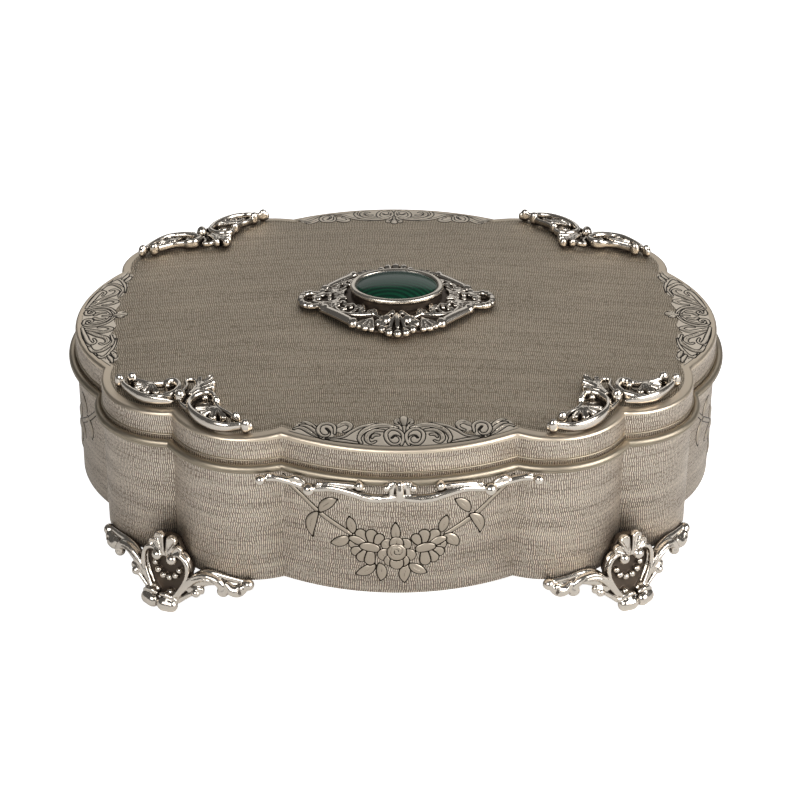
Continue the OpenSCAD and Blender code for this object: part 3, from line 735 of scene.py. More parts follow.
@dataclass(frozen=True)
class Finish:
    """A finish: one material with a Principled shader, whose look a subclass adds."""

    name: str
    colour: str
    roughness: float

    def look(self, tree: NodeTree) -> dict[str, object]:
        """Add the nodes of the look and return what feeds the shader, by socket."""
        return {}

    def surface(self, tree: NodeTree, shader: Node) -> Node:
        """Return the node that feeds the output."""
        return shader

    def material(self) -> Material:
        """Build the material.

        Returns:
            The material.
        """
        material = bpy.data.materials.new(self.name)
        material.use_nodes = True
        tree = material.node_tree
        tree.nodes.clear()
        shader = add(tree, "ShaderNodeBsdfPrincipled", self.look(tree))
        shader.inputs["Base Color"].default_value = linear(self.colour)
        shader.inputs["Roughness"].default_value = self.roughness
        add(tree, "ShaderNodeOutputMaterial", {"Surface": self.surface(tree, shader)})
        return material


@dataclass(frozen=True)
class ChasedSilver(Finish):
    """Sterling silver sheet with a hand-chased ground of short wavy strokes, oxidised and rubbed.

    The strokes catch the light and their furrows stay dark, which gives the warm grey, cloth-like
    look of the walls and the lid.
    """

    dark: str
    weave: Weave = Weave.STRIP
    pitch: float = 0.74  # mm between strokes
    row: float = 1.8  # mm, length of a stroke
    wander: float = 0.6  # mm that a stroke strays sideways
    border: float = 0.0  # mm of smooth band at the edge
    cloud: float = 0.9  # strength of the worn patches

    def look(self, tree: NodeTree) -> dict[str, object]:
        """Draw the strokes row by row, the worn patches and the smooth border.

        Args:
            tree: the material's node tree.

        Returns:
            What feeds the shader, by socket.
        """
        source = add(tree, COORDINATES).outputs["Object"]
        if self.weave is Weave.STRIP:
            source = add(tree, "ShaderNodeUVMap", uv_map="UVMap")
        # From here one unit is 1 mm: strokes stray over 5 mm and rows drift over 17 mm, the grain
        # is 0.8 mm, and the worn patches are about 8 mm
        spot = add(tree, VECTOR, {0: source, "Scale": 1 / MM}, operation="SCALE")
        flat = add(tree, VECTOR, (spot, (0.3, 2.0, 1.0)), operation="MULTIPLY")
        axes = add(tree, "ShaderNodeSeparateXYZ", (spot,)).outputs
        stray, drift, grain, cloud = [
            add(tree, NOISE, {"Vector": vector, "Scale": scale, "Detail": detail})
            for vector, scale, detail in (
                (spot, 0.21, 2.0), (spot, 0.06, 1.0), (spot, 1.3, 3.0), (flat, 0.12, 3.0))]
        along = add(tree, MATH, (stray, 2 * self.wander, axes[0]), operation="MULTIPLY_ADD")
        across = add(tree, MATH, (drift, 3.0, axes[1]), operation="MULTIPLY_ADD")
        lane = add(tree, MATH, (across, self.row), operation="DIVIDE")
        row = add(tree, MATH, (lane,), operation="FLOOR")
        # Each row starts its strokes somewhere else, and a stroke fades at both ends
        phase = add(tree, "ShaderNodeTexWhiteNoise", {"W": row}, noise_dimensions="1D")
        along = add(tree, MATH, (phase, self.pitch, along), operation="MULTIPLY_ADD")
        turn = add(tree, MATH, (along, 2 * math.pi / self.pitch), operation="MULTIPLY")
        wave = add(tree, MATH, (turn,), operation="SINE")
        stroke = add(tree, MATH, (wave, 0.5, 0.5), operation="MULTIPLY_ADD")
        part = add(tree, MATH, (lane,), operation="FRACT")
        rest = add(tree, MATH, (1.0, part), operation="SUBTRACT")
        middle = add(tree, MATH, (part, rest), operation="MULTIPLY")
        middle = add(tree, MATH, (middle, 4.0), operation="MULTIPLY")
        ends = add(tree, EASE, (middle, 0.0, 0.55, 0.62), interpolation_type="SMOOTHSTEP")
        height = add(tree, MATH, (stroke, ends), operation="MULTIPLY")
        rubbed = add(tree, EASE, (grain, 0.3, 0.6, 0.35), interpolation_type="SMOOTHSTEP")
        height = add(tree, MATH, (height, rubbed), operation="MULTIPLY")
        worn = add(tree, MATH, (cloud, 0.5), operation="SUBTRACT")
        light = add(tree, MATH, (worn, self.cloud, height), operation="MULTIPLY_ADD")
        if self.border:
            inset = add(tree, "ShaderNodeAttribute", attribute_name="inset").outputs["Fac"]
            rough = add(tree, EASE, (inset, self.border - 0.1, self.border + 0.1),
                        interpolation_type="SMOOTHSTEP")
            smooth = add(tree, MATH, (1.0, rough), operation="SUBTRACT")
            height = add(tree, MATH, (height, rough), operation="MULTIPLY")
            light = add(tree, MATH, (light, rough), operation="MULTIPLY")
            light = add(tree, MATH, (smooth, 0.75, light), operation="MULTIPLY_ADD")
        share = add(tree, EASE, (light, 0.0, 0.85), interpolation_type="SMOOTHSTEP")
        gloss = add(tree, EASE, (light, 0.0, 1.0, self.roughness + 0.14, self.roughness - 0.06),
                    interpolation_type="SMOOTHSTEP")
        colour = add(tree, MIX, {0: share, 6: self.dark, 7: self.colour}, data_type="RGBA").outputs[2]
        bump = add(tree, BUMP, {"Strength": 0.8, "Distance": 0.16 * MM, "Height": height})
        return {"Metallic": 1.0, "Base Color": colour, "Roughness": gloss, "Normal": bump}


@dataclass(frozen=True)
class CastSilver(Finish):
    """Cast silver, oxidised black in its hollows and buffed bright on everything that stands up; on the
    collet the same dark colour is painted shade under the rim.
    """

    dark: str = "#574d44"
    start: float = 0.22
    end: float = 0.66

    def look(self, tree: NodeTree) -> dict[str, object]:
        """Darken the recesses, with casting skin and buffing marks of about 0.5 mm.

        Args:
            tree: the material's node tree.

        Returns:
            What feeds the shader, by socket.
        """
        spot = add(tree, COORDINATES).outputs["Object"]
        skin = add(tree, NOISE, {"Vector": spot, "Scale": 1900.0, "Detail": 3.0})
        recess = add(tree, "ShaderNodeAttribute", attribute_name="recess").outputs["Fac"]
        uneven = add(tree, MATH, (skin, 0.5), operation="SUBTRACT")
        deep = add(tree, MATH, (uneven, 0.3, recess), operation="MULTIPLY_ADD")
        share = add(tree, EASE, (deep, self.start, self.end), interpolation_type="SMOOTHSTEP")
        gloss = add(tree, EASE, (share, 0.0, 1.0, self.roughness, 0.5), interpolation_type="SMOOTHSTEP")
        colour = add(tree, MIX, {0: share, 6: self.colour, 7: self.dark}, data_type="RGBA").outputs[2]
        bump = add(tree, BUMP, {"Strength": 0.15, "Distance": 0.06 * MM, "Height": skin})
        return {"Metallic": 1.0, "Base Color": colour, "Roughness": gloss, "Normal": bump}


@dataclass(frozen=True)
class PolishedSilver(Finish):
    """Drawn silver wire and sheet, polished and a little worn: bright, with faint scratches."""

    worn: str = "#94897a"

    def look(self, tree: NodeTree) -> dict[str, object]:
        """Tarnish it in patches of about 12 mm, with scratches of about 0.4 mm.

        Args:
            tree: the material's node tree.

        Returns:
            What feeds the shader, by socket.
        """
        spot = add(tree, COORDINATES).outputs["Object"]
        patch = add(tree, NOISE, {"Vector": spot, "Scale": 85.0, "Detail": 4.0})
        scratch = add(tree, NOISE, {"Vector": spot, "Scale": 2600.0, "Detail": 2.0})
        share = add(tree, EASE, (patch, 0.42, 0.7, 0.0, 0.55), interpolation_type="SMOOTHSTEP")
        gloss = add(tree, MATH, (patch, 0.16, self.roughness), operation="MULTIPLY_ADD")
        colour = add(tree, MIX, {0: share, 6: self.colour, 7: self.worn}, data_type="RGBA").outputs[2]
        bump = add(tree, BUMP, {"Strength": 0.12, "Distance": 0.04 * MM, "Height": scratch})
        return {"Metallic": 1.0, "Base Color": colour, "Roughness": gloss, "Normal": bump}


@dataclass(frozen=True)
class Velvet(Finish):
    """Cotton velvet: short upright pile, dark head-on and light at the edges and where brushed."""

    brushed: str = "#501524"

    def look(self, tree: NodeTree) -> dict[str, object]:
        """Brush it in patches of about 9 mm; the pile is 0.6 mm, coarser than it is, to show.

        Args:
            tree: the material's node tree.

        Returns:
            What feeds the shader, by socket.
        """
        spot = add(tree, COORDINATES).outputs["Object"]
        patch = add(tree, NOISE, {"Vector": spot, "Scale": 110.0, "Detail": 3.0})
        pile = add(tree, NOISE, {"Vector": spot, "Scale": 1700.0, "Detail": 2.0})
        share = add(tree, EASE, (patch, 0.3, 0.75), interpolation_type="SMOOTHSTEP")
        colour = add(tree, MIX, {0: share, 6: self.colour, 7: self.brushed}, data_type="RGBA").outputs[2]
        bump = add(tree, BUMP, {"Strength": 0.5, "Distance": 0.3 * MM, "Height": pile})
        return {"Base Color": colour, "Normal": bump, "Specular IOR Level": 0.2, "Sheen Weight": 0.6,
                "Sheen Roughness": 0.4, "Sheen Tint": "#c46a78"}


@dataclass(frozen=True)
class Malachite(Finish):
    """Polished malachite: curved bands of dark and lighter green under a wet-looking gloss."""

    light: str
    band: float = 2.6  # mm between bands

    def look(self, tree: NodeTree) -> dict[str, object]:
        """Draw broad bands and fine ones between them, round a centre off the stone's middle.

        Args:
            tree: the material's node tree.

        Returns:
            What feeds the shader, by socket.
        """
        spot = add(tree, COORDINATES).outputs["Object"]
        centred = add(tree, "ShaderNodeMapping", {
            "Vector": spot, "Location": (0.006, 0.028, 0.0), "Scale": (1.0, 1.6, 1.0)})
        broad, fine = [
            add(tree, "ShaderNodeTexWave", {
                "Vector": centred, "Scale": scale / (self.band * MM), "Distortion": distortion,
                "Detail": detail, "Detail Scale": detail_scale},
                wave_type="RINGS", rings_direction="Z").outputs["Fac"]
            for scale, distortion, detail, detail_scale in ((0.31, 2.4, 3.0, 0.6), (1.4, 5.0, 2.0, 1.0))]
        broad = add(tree, MATH, (broad, 0.7), operation="MULTIPLY")
        both_bands = add(tree, MATH, (fine, 0.3, broad), operation="MULTIPLY_ADD")
        share = add(tree, EASE, (both_bands, 0.2, 0.95), interpolation_type="SMOOTHSTEP")
        colour = add(tree, MIX, {0: share, 6: self.colour, 7: self.light}, data_type="RGBA").outputs[2]
        return {"Base Color": colour, "IOR": 1.5}


@dataclass(frozen=True)
class StudioWhite(Finish):
    """Matt white paint of the studio floor, with some light of its own where the camera sees it."""

    glow: float = 0.88

    def look(self, tree: NodeTree) -> dict[str, object]:
        """Take the gloss off the paint."""
        return {"Specular IOR Level": 0.0}

    def surface(self, tree: NodeTree, shader: Node) -> Node:
        """Add the glow to the shader.

        Args:
            tree: the material's node tree.
            shader: the Principled shader.

        Returns:
            The node that feeds the output.
        """
        seen = add(tree, "ShaderNodeLightPath").outputs["Is Camera Ray"]
        strength = add(tree, MATH, (seen, self.glow), operation="MULTIPLY")
        glow = add(tree, "ShaderNodeEmission", {"Color": WHITE, "Strength": strength})
        return add(tree, "ShaderNodeAddShader", (shader, glow))


@dataclass
class Finishes:
    """Every material of the casket, made once."""

    wall: Material = field(default_factory=ChasedSilver(
        "silver_chased_wall", "#eee2d2", 0.38, "#86796c").material)
    lid: Material = field(default_factory=ChasedSilver(
        "silver_chased_lid", "#dacbb6", 0.44, "#8f8372", weave=Weave.PLAN, pitch=0.62, row=2.6,
        wander=0.35, border=3.2, cloud=0.5).material)
    cast: Material = field(default_factory=CastSilver(
        "silver_cast_oxidised", "#d9d0c4", 0.19).material)
    engraved: Material = field(default_factory=CastSilver(
        "silver_engraved", "#b6aa9a", 0.38, "#2a241e").material)
    engraved_lid: Material = field(default_factory=CastSilver(
        "silver_engraved_lid", "#e2d6c5", 0.4, "#2e2822").material)
    rolled: Material = field(default_factory=CastSilver(
        "silver_rolled", "#d3cabd", 0.27).material)
    polished: Material = field(default_factory=PolishedSilver(
        "silver_polished", "#aca08d", 0.35).material)
    plain: Material = field(default_factory=PolishedSilver(
        "silver_satin", "#cfc6b8", 0.34).material)
    velvet: Material = field(default_factory=Velvet(
        "velvet_wine", "#3d0c18", 0.9).material)
    malachite: Material = field(default_factory=Malachite(
        "malachite_polished", "#06261b", 0.2, "#0b3f2b").material)


# Sheet parts


def arc(centre: tuple[float, float], radius: float, start: float, end: float,
        steps: int) -> list[tuple[float, float]]:
    """Return points on an arc between two angles in degrees."""
    angles = np.radians(np.linspace(start, end, steps))
    return [(centre[0] + radius * math.cos(a), centre[1] + radius * math.sin(a)) for a in angles]


def stack(name: str, rings: Sequence[np.ndarray], insets: Row = ()) -> Object:
    """Skin a closed shell from rings, from the middle of its underside to the middle of its top.

    Args:
        name: the piece's name.
        rings: (n, 3) rings of equal length, counter-clockwise seen from above.
        insets: how far each ring lies from the piece's edge, for the finish.

    Returns:
        The object.
    """
    n, count = len(rings[0]), len(rings)
    points = np.concatenate([*rings, rings[0].mean(0)[None], rings[-1].mean(0)[None]])
    faces = [[k * n + i, k * n + (i + 1) % n, (k + 1) * n + (i + 1) % n, (k + 1) * n + i]
             for k in range(count - 1) for i in range(n)]
    faces += [[count * n, (i + 1) % n, i] for i in range(n)]
    faces += [[count * n + 1, (count - 1) * n + i, (count - 1) * n + (i + 1) % n] for i in range(n)]
    if len(insets):
        return build_mesh(name, points, faces, 50, {"inset": np.concatenate([
            np.repeat(insets, n), [insets[0], insets[-1]]])})
    return build_mesh(name, points, faces, 50)


@dataclass
class DomedShell:
    """A shell under the dome: the lid's top, or its velvet lining."""

    name: str
    outer: float  # mm outside the outline
    inner: float
    lift: float  # mm of the upper surface above the dome
    drop: float  # mm of the lower surface above the dome
    base: float  # level of its lower edge
    roll: float  # radius of its upper edge
    groove: float = 0.0  # distance of the engraved line from the edge
    per_lobe: int = 30

    def level(self, grow: float, lift: float, shrink: float = 1.0) -> np.ndarray:
        """Return one ring on the dome."""
        plan = PLAN.ring(grow, self.per_lobe) * shrink
        return np.column_stack([plan, PLAN.dome(plan[:, 0], plan[:, 1]) + lift])

    def make(self) -> Object:
        """Build the shell.

        Returns:
            The shell as a mesh object.
        """
        shrinks = np.linspace(0.06, 1.0, 24)
        rings = [self.level(self.inner - 2, self.drop, s) for s in shrinks]
        insets = [FAR] * len(rings)
        for z in (None, self.base):
            ring = self.level(self.inner, self.drop)
            if z is not None:
                ring[:, 2] = z
            rings.append(ring)
            insets.append(-self.inner)
        edge = self.level(self.outer, self.lift)
        low = edge.copy()
        low[:, 2] = self.base
        rings.append(low)
        insets.append(0.0)
        for a in np.radians(np.linspace(0, 90, 7)):
            inset = self.roll * (1 - math.cos(a))
            ring = self.level(self.outer - inset, self.lift)
            ring[:, 2] -= self.roll * (1 - math.sin(a))
            rings.append(ring)
            insets.append(inset)
        steps = [(1.6, 0), (2.6, 0), (3.6, 0)]
        if self.groove:
            g = self.groove
            steps += [(g - 0.3, 0), (g - 0.12, -0.16), (g + 0.12, -0.16), (g + 0.3, 0)]
        steps += [(6.0, 0), (8.0, 0)]
        for inset, sink in steps:
            rings.append(self.level(self.outer - inset, self.lift + sink))
            insets.append(inset)
        for s in shrinks[::-1][1:]:
            rings.append(self.level(self.outer - 8, self.lift, s))
            insets.append(FAR)
        return stack(self.name, rings, insets)


@dataclass
class Body:
    """The lobed wall, its moulding and its velvet lining."""

    sweep: OutlineSweep
    finishes: Finishes
    nodes: dict[str, Object]
    lining: float = 1.5  # thickness of the velvet
    pad_roll: float = 1.0  # radius of the pad's edge

    def build(self) -> None:
        """Build every piece that stays with the body, apart from feet and hinge."""
        f, sheet = self.finishes, LEVEL.sheet
        wall = self.sweep.make("body_wall_chased", [
            (-sheet, LEVEL.bottom), (-0.3, LEVEL.bottom), (0.0, LEVEL.bottom + 0.3),
            (0.0, LEVEL.joint - 1.6), (0.0, LEVEL.joint), (-sheet, LEVEL.joint)], f.wall, 60)
        place(wall, "body", f.wall, ["body_wall"])
        moulding = self.sweep.make("rim_moulding_wire", half_round(LEVEL.joint, -1), f.polished)
        place(moulding, "body", f.polished, ["rim_moulding"])
        out, top = -sheet - 0.1, LEVEL.lining_top
        inner = out - self.lining
        lining = self.sweep.make("wall_lining_velvet", [
            (inner, LEVEL.pad_top), (out, LEVEL.pad_top), (out, top)]
            + arc((inner + 0.75, top - 0.75), 0.75, 90, 180, 6)
            + [(inner + 0.12, top - 3.0), (inner, top - 10.0)], f.velvet)
        place(lining, "body", f.velvet, ["wall_lining"])
        self.pad()
        for name in ("bottom_plate", "locating_collar", "hinge_leaf_body", "hinge_pin"):
            dress(self.nodes[name], f.plain)

    def pad(self) -> None:
        """Build the velvet base pad, crowned and dimpled in soft waves."""
        roll, low = self.pad_roll, LEVEL.pad
        flat = -LEVEL.sheet - 0.1 - roll
        plan, shrinks = PLAN.ring(flat, 30), np.linspace(0.04, 1.0, 40)
        rings = [np.column_stack([plan * s, np.full(len(plan), low)]) for s in shrinks[::8]]
        for a in np.radians(np.linspace(-90, 90, 9)):
            edge = PLAN.ring(flat + roll * math.cos(a), 30)
            rings.append(np.column_stack([edge, np.full(len(edge), low + roll + roll * math.sin(a))]))
        for s in shrinks[::-1][1:]:
            crown = LEVEL.pad_top - 0.5 * s ** 6
            rings.append(np.column_stack([plan * s, crown - self.dimple(plan * s)]))
        pad = stack("base_pad_velvet", rings)
        place(pad, "body", self.finishes.velvet, ["base_pad"])

    @staticmethod
    def dimple(plan: np.ndarray) -> np.ndarray:
        """Return how deep the soft stuffing waves at each point."""
        return 0.3 * (1 + np.sin(plan[:, 0] / 7.3 + 1.1) * np.cos(plan[:, 1] / 6.1)) / 2


def half_round(level: float, up: int) -> list[tuple[float, float]]:
    """Return the profile of a half-round wire on the wall.

    Args:
        level: height of its flat side.
        up: 1 for a wire above the level, -1 for one below it.

    Returns:
        The closed profile.
    """
    radius, offset, near, step = 1.45, 1.3, 0.02, 0.01
    reach = math.degrees(math.acos((near - offset) / radius))
    curve = arc((offset, level), radius, 1.5, reach, 22)
    profile = [(offset + radius - step, level + step), *curve, (near, level + step)]
    if up < 0:
        profile = [(x, 2 * level - z) for x, z in profile][::-1]
    return profile


def dress(node: Object, material: Material) -> None:
    """Give a CAD node that stays in view a better material."""
    for slot in node.material_slots:
        slot.material = material
    log.info("%s: kept from the frame", node.name)


@dataclass
class Lid:
    """The lid's band, domed top, moulding, thin wire above it and velvet lining."""

    sweep: OutlineSweep
    finishes: Finishes
    nodes: dict[str, Object]
    line: float = 0.34  # radius of the thin wire
    line_level: float = 63.5

    def build(self) -> None:
        """Build every piece of the lid's sheet work."""
        f, sheet = self.finishes, LEVEL.sheet
        band = self.sweep.make("lid_band_chased", [
            (-sheet, LEVEL.lid), (0.0, LEVEL.lid), (0.0, LEVEL.lid_shoulder),
            (-sheet, LEVEL.lid_shoulder)], f.wall, 60)
        place(band, "lid", f.wall, ["lid_band"])
        top = DomedShell("lid_top_chased", 0.0, -2 * sheet, 0.0, -sheet, LEVEL.lid_shoulder,
                         roll=1.0, groove=4.4).make()
        place(top, "lid", f.lid, ["lid_top"])
        moulding = self.sweep.make("lid_moulding_wire", half_round(LEVEL.lid, 1), f.polished)
        place(moulding, "lid", f.polished, ["lid_moulding"])
        line = self.sweep.make("lid_band_wire", arc(
            (0.12, self.line_level), self.line, 0, 324, 10), f.polished)
        place(line, "lid", f.polished)
        lining = DomedShell("lid_lining_velvet", -2 * sheet - 0.1, -2 * sheet - 1.6, -sheet - 0.1,
                            -sheet - 1.6, LEVEL.lid_shoulder - 1.5, roll=0.3).make()
        place(lining, "lid", f.velvet, ["lid_lining"])
        dress(self.nodes["hinge_leaf_lid"], f.plain)


# Castings


class Quarter(Enum):
    """The four quarters of the plan, with the signs of x and y."""

    front_left = (-1, -1)
    front_right = (1, -1)
    back_left = (-1, 1)
    back_right = (1, 1)


def quartered(name: str, carry: Carry) -> dict[str, Carry]:
    """Repeat a casting of the back right quarter in all four.

    Args:
        name: the copies' name, with {} for the quarter.
        carry: what sets the wax in the back right quarter.

    Returns:
        The carry of each copy, by name.
    """
    def turned(quarter: Quarter) -> Carry:
        """Return the carry into one quarter."""
        return lambda points: carry(points) * (*quarter.value, 1)

    return {name.format(quarter.name): turned(quarter) for quarter in Quarter}


def height(points: np.ndarray) -> np.ndarray:
    """Return the third coordinate: the distance to the sheet that carries a relief."""
    return points[:, 2]


CORNER = np.array(PLAN.corner_notch)
CORNER_OUT = np.array((0.5508, 0.8346))
CORNER_ALONG = np.array((-0.8346, 0.5508))


def corner_plan(points: np.ndarray) -> np.ndarray:
    """Turn (along, out, any) in the frame of the corner notch to (x, y)."""
    return CORNER + points[:, :1] * CORNER_ALONG + points[:, 1:2] * CORNER_OUT


def on_dome(points: np.ndarray) -> np.ndarray:
    """Turn (x, y, height above the dome) to (x, y, z).

    Args:
        points: (n, 3) points.

    Returns:
        The lifted points.
    """
    lifted = points.copy()
    lifted[:, 2] += PLAN.dome(points[:, 0], points[:, 1])
    return lifted


def both(points: Rows) -> list[list[tuple[float, ...]]]:
    """Return a row of points and its mirror image in x."""
    return [[tuple(p) for p in points], [(-p[0], *p[1:]) for p in points]]


@dataclass
class Feet:
    """Four cast feet: a shield with a shell over it, two toes, and a scrolled arm to each side."""

    finishes: Finishes
    top: float = 28.5
    face_top: float = 6.2
    toe_out: float = 10.4
    reach: float = 29.6
    toe: float = 2.9
    toe_side: float = -1.5
    gap: float = 0.06

    def face(self, z: float | np.ndarray) -> float | np.ndarray:
        """Return how far the shield's face stands out of the notch at a height."""
        return self.face_top + (self.toe_out - self.face_top) * (1 - z / self.top) ** 2

    def arm(self, x: float | np.ndarray) -> float | np.ndarray:
        """Return how far an arm stands out at a distance from the middle."""
        share = np.abs(x) / self.reach
        return (self.face_top + 1.5) * (1 - share ** 2) + self.toe / 2 * share

    def on_face(self, rows: Rows, push: float) -> list[tuple]:
        """Turn rows of (x, z, radius) to points on the shield."""
        return [(x, self.face(z) + push, z, r) for x, z, r in rows]

    def on_arms(self, rows: Rows, push: float) -> list[list[tuple]]:
        """Turn (x, z, radius) rows to points on each arm; the one at the casket's end sits higher."""
        return [[(side * x, self.arm(x) + push, z + rise * min(max((x - 12) / 16, 0.0), 1.0), r)
                 for x, z, r in rows] for side, rise in ((1, 0.0), (-0.97, 1.3))]

    def carve(self) -> Carving:
        """Model one foot.

        Returns:
            The carving.
        """
        wax = Carving((-32.6, -7.4, -0.9), (32.6, 15.2, 30.2), (0.3, 0.3, 0.3))
        t, e, z = wax.grid()
        half = np.interp(z, (2.8, 8.0, 12.0, 16.0, 20.0, 23.0, 26.0), (4.4, 6.2, 7.9, 8.9, 8.2, 5.6, 3.0))
        plate = np.abs(e - self.face(z) + 3.5) - 1.5
        wax.fill(np.maximum.reduce(np.broadcast_arrays(np.abs(t) - half, plate, 2.8 - z, z - 26.0)))
        spur = np.maximum.reduce(np.broadcast_arrays(np.abs(t) - 2.9, e - 4.75, -e, z - 22.3, 14.5 - z))
        under = np.maximum.reduce(np.broadcast_arrays(
            np.abs(t) - 4.2, e - 4.75, -6.0 - e, z - 17.5, 12.1 - z + 0.62 * (self.face(17.5) - e) - 1.5))
        wax.fill(spur)
        wax.fill(under)
        self.shield(wax)
        self.arms(wax)
        self.toes(wax)
        plan = corner_plan(np.column_stack([np.repeat(wax.axes[0], len(wax.axes[1])),
                                            np.tile(wax.axes[1], len(wax.axes[0]))]))
        wall = PLAN.gap(plan[:, 0], plan[:, 1]).reshape(len(wax.axes[0]), -1, 1)
        wax.limit(np.maximum(-z, np.minimum(self.gap - wall, z - LEVEL.bottom)))
        return wax

    def shield(self, wax: Carving) -> None:
        """Model the shield's rim, volutes, beads and shell.

        Args:
            wax: the carving that takes the shapes.
        """
        rim = [(3.6, 5.6, 0.75), (5.4, 7.4, 0.75), (7.2, 10.4, 0.75), (8.7, 13.6, 0.8), (9.2, 16.4, 0.85),
               (8.8, 19.0, 0.85), (7.2, 21.0, 0.9), (5.0, 21.7, 0.95), (3.2, 21.2, 0.9)]
        for push, grow in ((-1.5, 0.25), (0.2, 0.0)):
            for line in both(self.on_face([(x, z, r + grow) for x, z, r in rim], push)):
                wax.stroke(line, 0.1, 5)
        for volute in both(self.on_face([(3.0, 19.7, 2.0)], 0.7)):
            wax.stroke(volute, 0.1, 1)
        for cut in both(self.on_face([(5.5, 20.4, 0.3), (5.2, 18.6, 0.42), (3.6, 17.4, 0.36)], 1.0)):
            wax.stroke(cut, 0.1, 5, carve=True)
        for bead in ((1.3, 11.6, 1.25), (3.6, 12.9, 1.25), (5.0, 15.2, 1.15)):
            for spot in both(self.on_face([bead], -1.1)):
                wax.stroke(spot, 0.05, 1)
        root = self.on_face([(0, 20.4, 0.7)], 0.4)[0]
        for x, z, r in ((5.0, 23.4, 1.9), (-5.0, 23.4, 1.9), (2.5, 26.2, 2.05), (-2.5, 26.2, 2.05)):
            tip = self.on_face([(x, z, r)], -0.1)[0]
            wax.petal((root[0] + 0.25 * x, *root[1:]), tip, (0, 1, 0), 0.05, 0.78)

    def arms(self, wax: Carving) -> None:
        """Model the two scrolled arms.

        Args:
            wax: the carving that takes the shapes.
        """
        lip = [(4.6, 5.2, 0.95), (6.6, 8.2, 1.1), (9.8, 12.6, 1.3), (13.2, 15.9, 1.5), (16.8, 17.0, 1.6),
               (20.2, 16.0, 1.6), (22.0, 13.8, 1.55), (22.3, 12.0, 1.5)]
        web = [(5.4, 4.6, 1.1), (8.0, 8.4, 1.5), (11.0, 11.6, 1.9), (14.4, 14.0, 1.9), (18.0, 15.0, 1.6),
               (22.0, 15.2, 1.6), (25.4, 15.0, 1.6)]
        back = [(11.0, 14.6, 1.2), (14.4, 17.2, 1.3), (18.4, 18.0, 1.3), (22.6, 17.4, 1.3), (28.0, 16.4, 1.2)]
        low = [(5.6, 4.4, 0.9), (8.2, 6.8, 0.9), (10.8, 8.9, 0.85), (12.6, 9.6, 0.9)]
        curl = [(9.6, 10.0, 0.9), (12.2, 11.4, 1.1), (14.2, 11.4, 1.1), (14.4, 10.4, 0.9)]
        paw = [(23.2, 15.2, 1.3), (24.8, 13.4, 2.1), (26.6, 13.3, 2.3), (28.0, 14.4, 1.9)]
        for rows, push, soft in ((back, -1.4, 0.3), (web, -1.5, 0.3), (lip, 0.2, 0.1), (low, 0.5, 0.1),
                                 (curl, 0.0, 0.1), (paw, 0.0, 0.15)):
            for line in self.on_arms(rows, push):
                wax.stroke(line, soft, 5)
        for spot, push, soft in (((29.6, 15.7, 2.0), -0.5, 0.1), ((21.8, 12.5, 1.8), 0.4, 0.6),
                                 ((12.8, 9.9, 1.5), 0.8, 0.4)):
            for ball in self.on_arms([spot], push):
                wax.stroke(ball, soft, 1)
        cuts = (((23.6, 16.4, 0.4), (24.3, 13.6, 0.55), (23.8, 10.8, 0.45)),
                ((27.4, 17.2, 0.35), (27.9, 15.2, 0.5), (28.5, 12.8, 0.4)),
                ((7.6, 10.8, 0.3), (10.6, 14.5, 0.42), (14.6, 16.9, 0.42), (18.4, 16.9, 0.36),
                 (20.4, 15.0, 0.3)))
        for rows, push in zip(cuts, (2.3, 2.1, 1.75)):
            for line in self.on_arms(rows, push):
                wax.stroke(line, 0.12, 4, carve=True)

    def toes(self, wax: Carving) -> None:
        """Model the two broad rounded toes with the groove between them.

        Args:
            wax: the carving that takes the shapes.
        """
        out, brow, aside = self.toe_out, self.face(6.4), self.toe_side
        for side in (-1, 1):
            for rows, soft, squash in (
                    (((2.4, out - 0.3, 2.6, 2.6), (4.7, out - 0.9, 2.6, 2.6)), 0.3, 0.88),
                    (((3.4, out - 1.4, 4.0, 2.2), (3.6, self.face(6.6) - 1.0, 6.4, 1.5)), 0.3, 1.0),
                    (((0.9, brow + 1.0, 5.6, 0.6), (2.6, brow + 1.2, 6.4, 0.85),
                      (4.6, self.face(6.2) + 0.8, 5.9, 0.85), (6.4, self.face(5.0) - 0.1, 4.6, 0.75)),
                     0.08, 1.0)):
                wax.stroke([(side * x + aside, e, z, r) for x, e, z, r in rows], soft, 4, (1.0, squash, 1.0))
        wax.stroke([(aside, out + 3.0, -0.4, 0.75), (aside, out + 2.7, 2.4, 0.7),
                    (aside, out + 0.8, 5.4, 0.6)], 0.3, carve=True)

    def depth(self, points: np.ndarray) -> np.ndarray:
        """Tell how far points lie behind the shield's rim or the arm's lip.

        Args:
            points: (n, 3) points in the wax's own coordinates.

        Returns:
            The depth of each, where 1 is out of reach of the buffing wheel.
        """
        x, out, z = points.T
        behind = np.where(np.abs(x) < 9.0, self.face(z) - 1.45 - out, self.arm(x) - 1.1 - out)
        return np.where(z > 4.5, behind / 0.6, 0.0)

    def build(self) -> None:
        """Cast the four feet."""
        def carry(points: np.ndarray) -> np.ndarray:
            """Set the wax at the corner notch."""
            return np.column_stack([corner_plan(points), points[:, 2]])

        def ground(points: np.ndarray) -> np.ndarray:
            """Return the distance to the wall and its lower edge."""
            plan = corner_plan(points)
            wall = PLAN.gap(plan[:, 0], plan[:, 1])
            return np.maximum(wall, LEVEL.bottom - points[:, 2])

        feet = cast(self.carve(), quartered("foot_{}_cast", carry), ground, depth=self.depth)
        for foot, quarter in zip(feet, Quarter):
            place(foot, "body", self.finishes.cast, [f"foot_{quarter.name}"])


@dataclass(frozen=True)
class Wing:
    """One wing of a corner mount, in rows of (along the edge, out of the notch, radius)."""

    ground: Rows
    ribs: tuple[tuple[float, Rows], ...]  # height over the lid, and rows
    root: Row
    tips: Rows
    balls: Rows  # (along, out, height, radius)


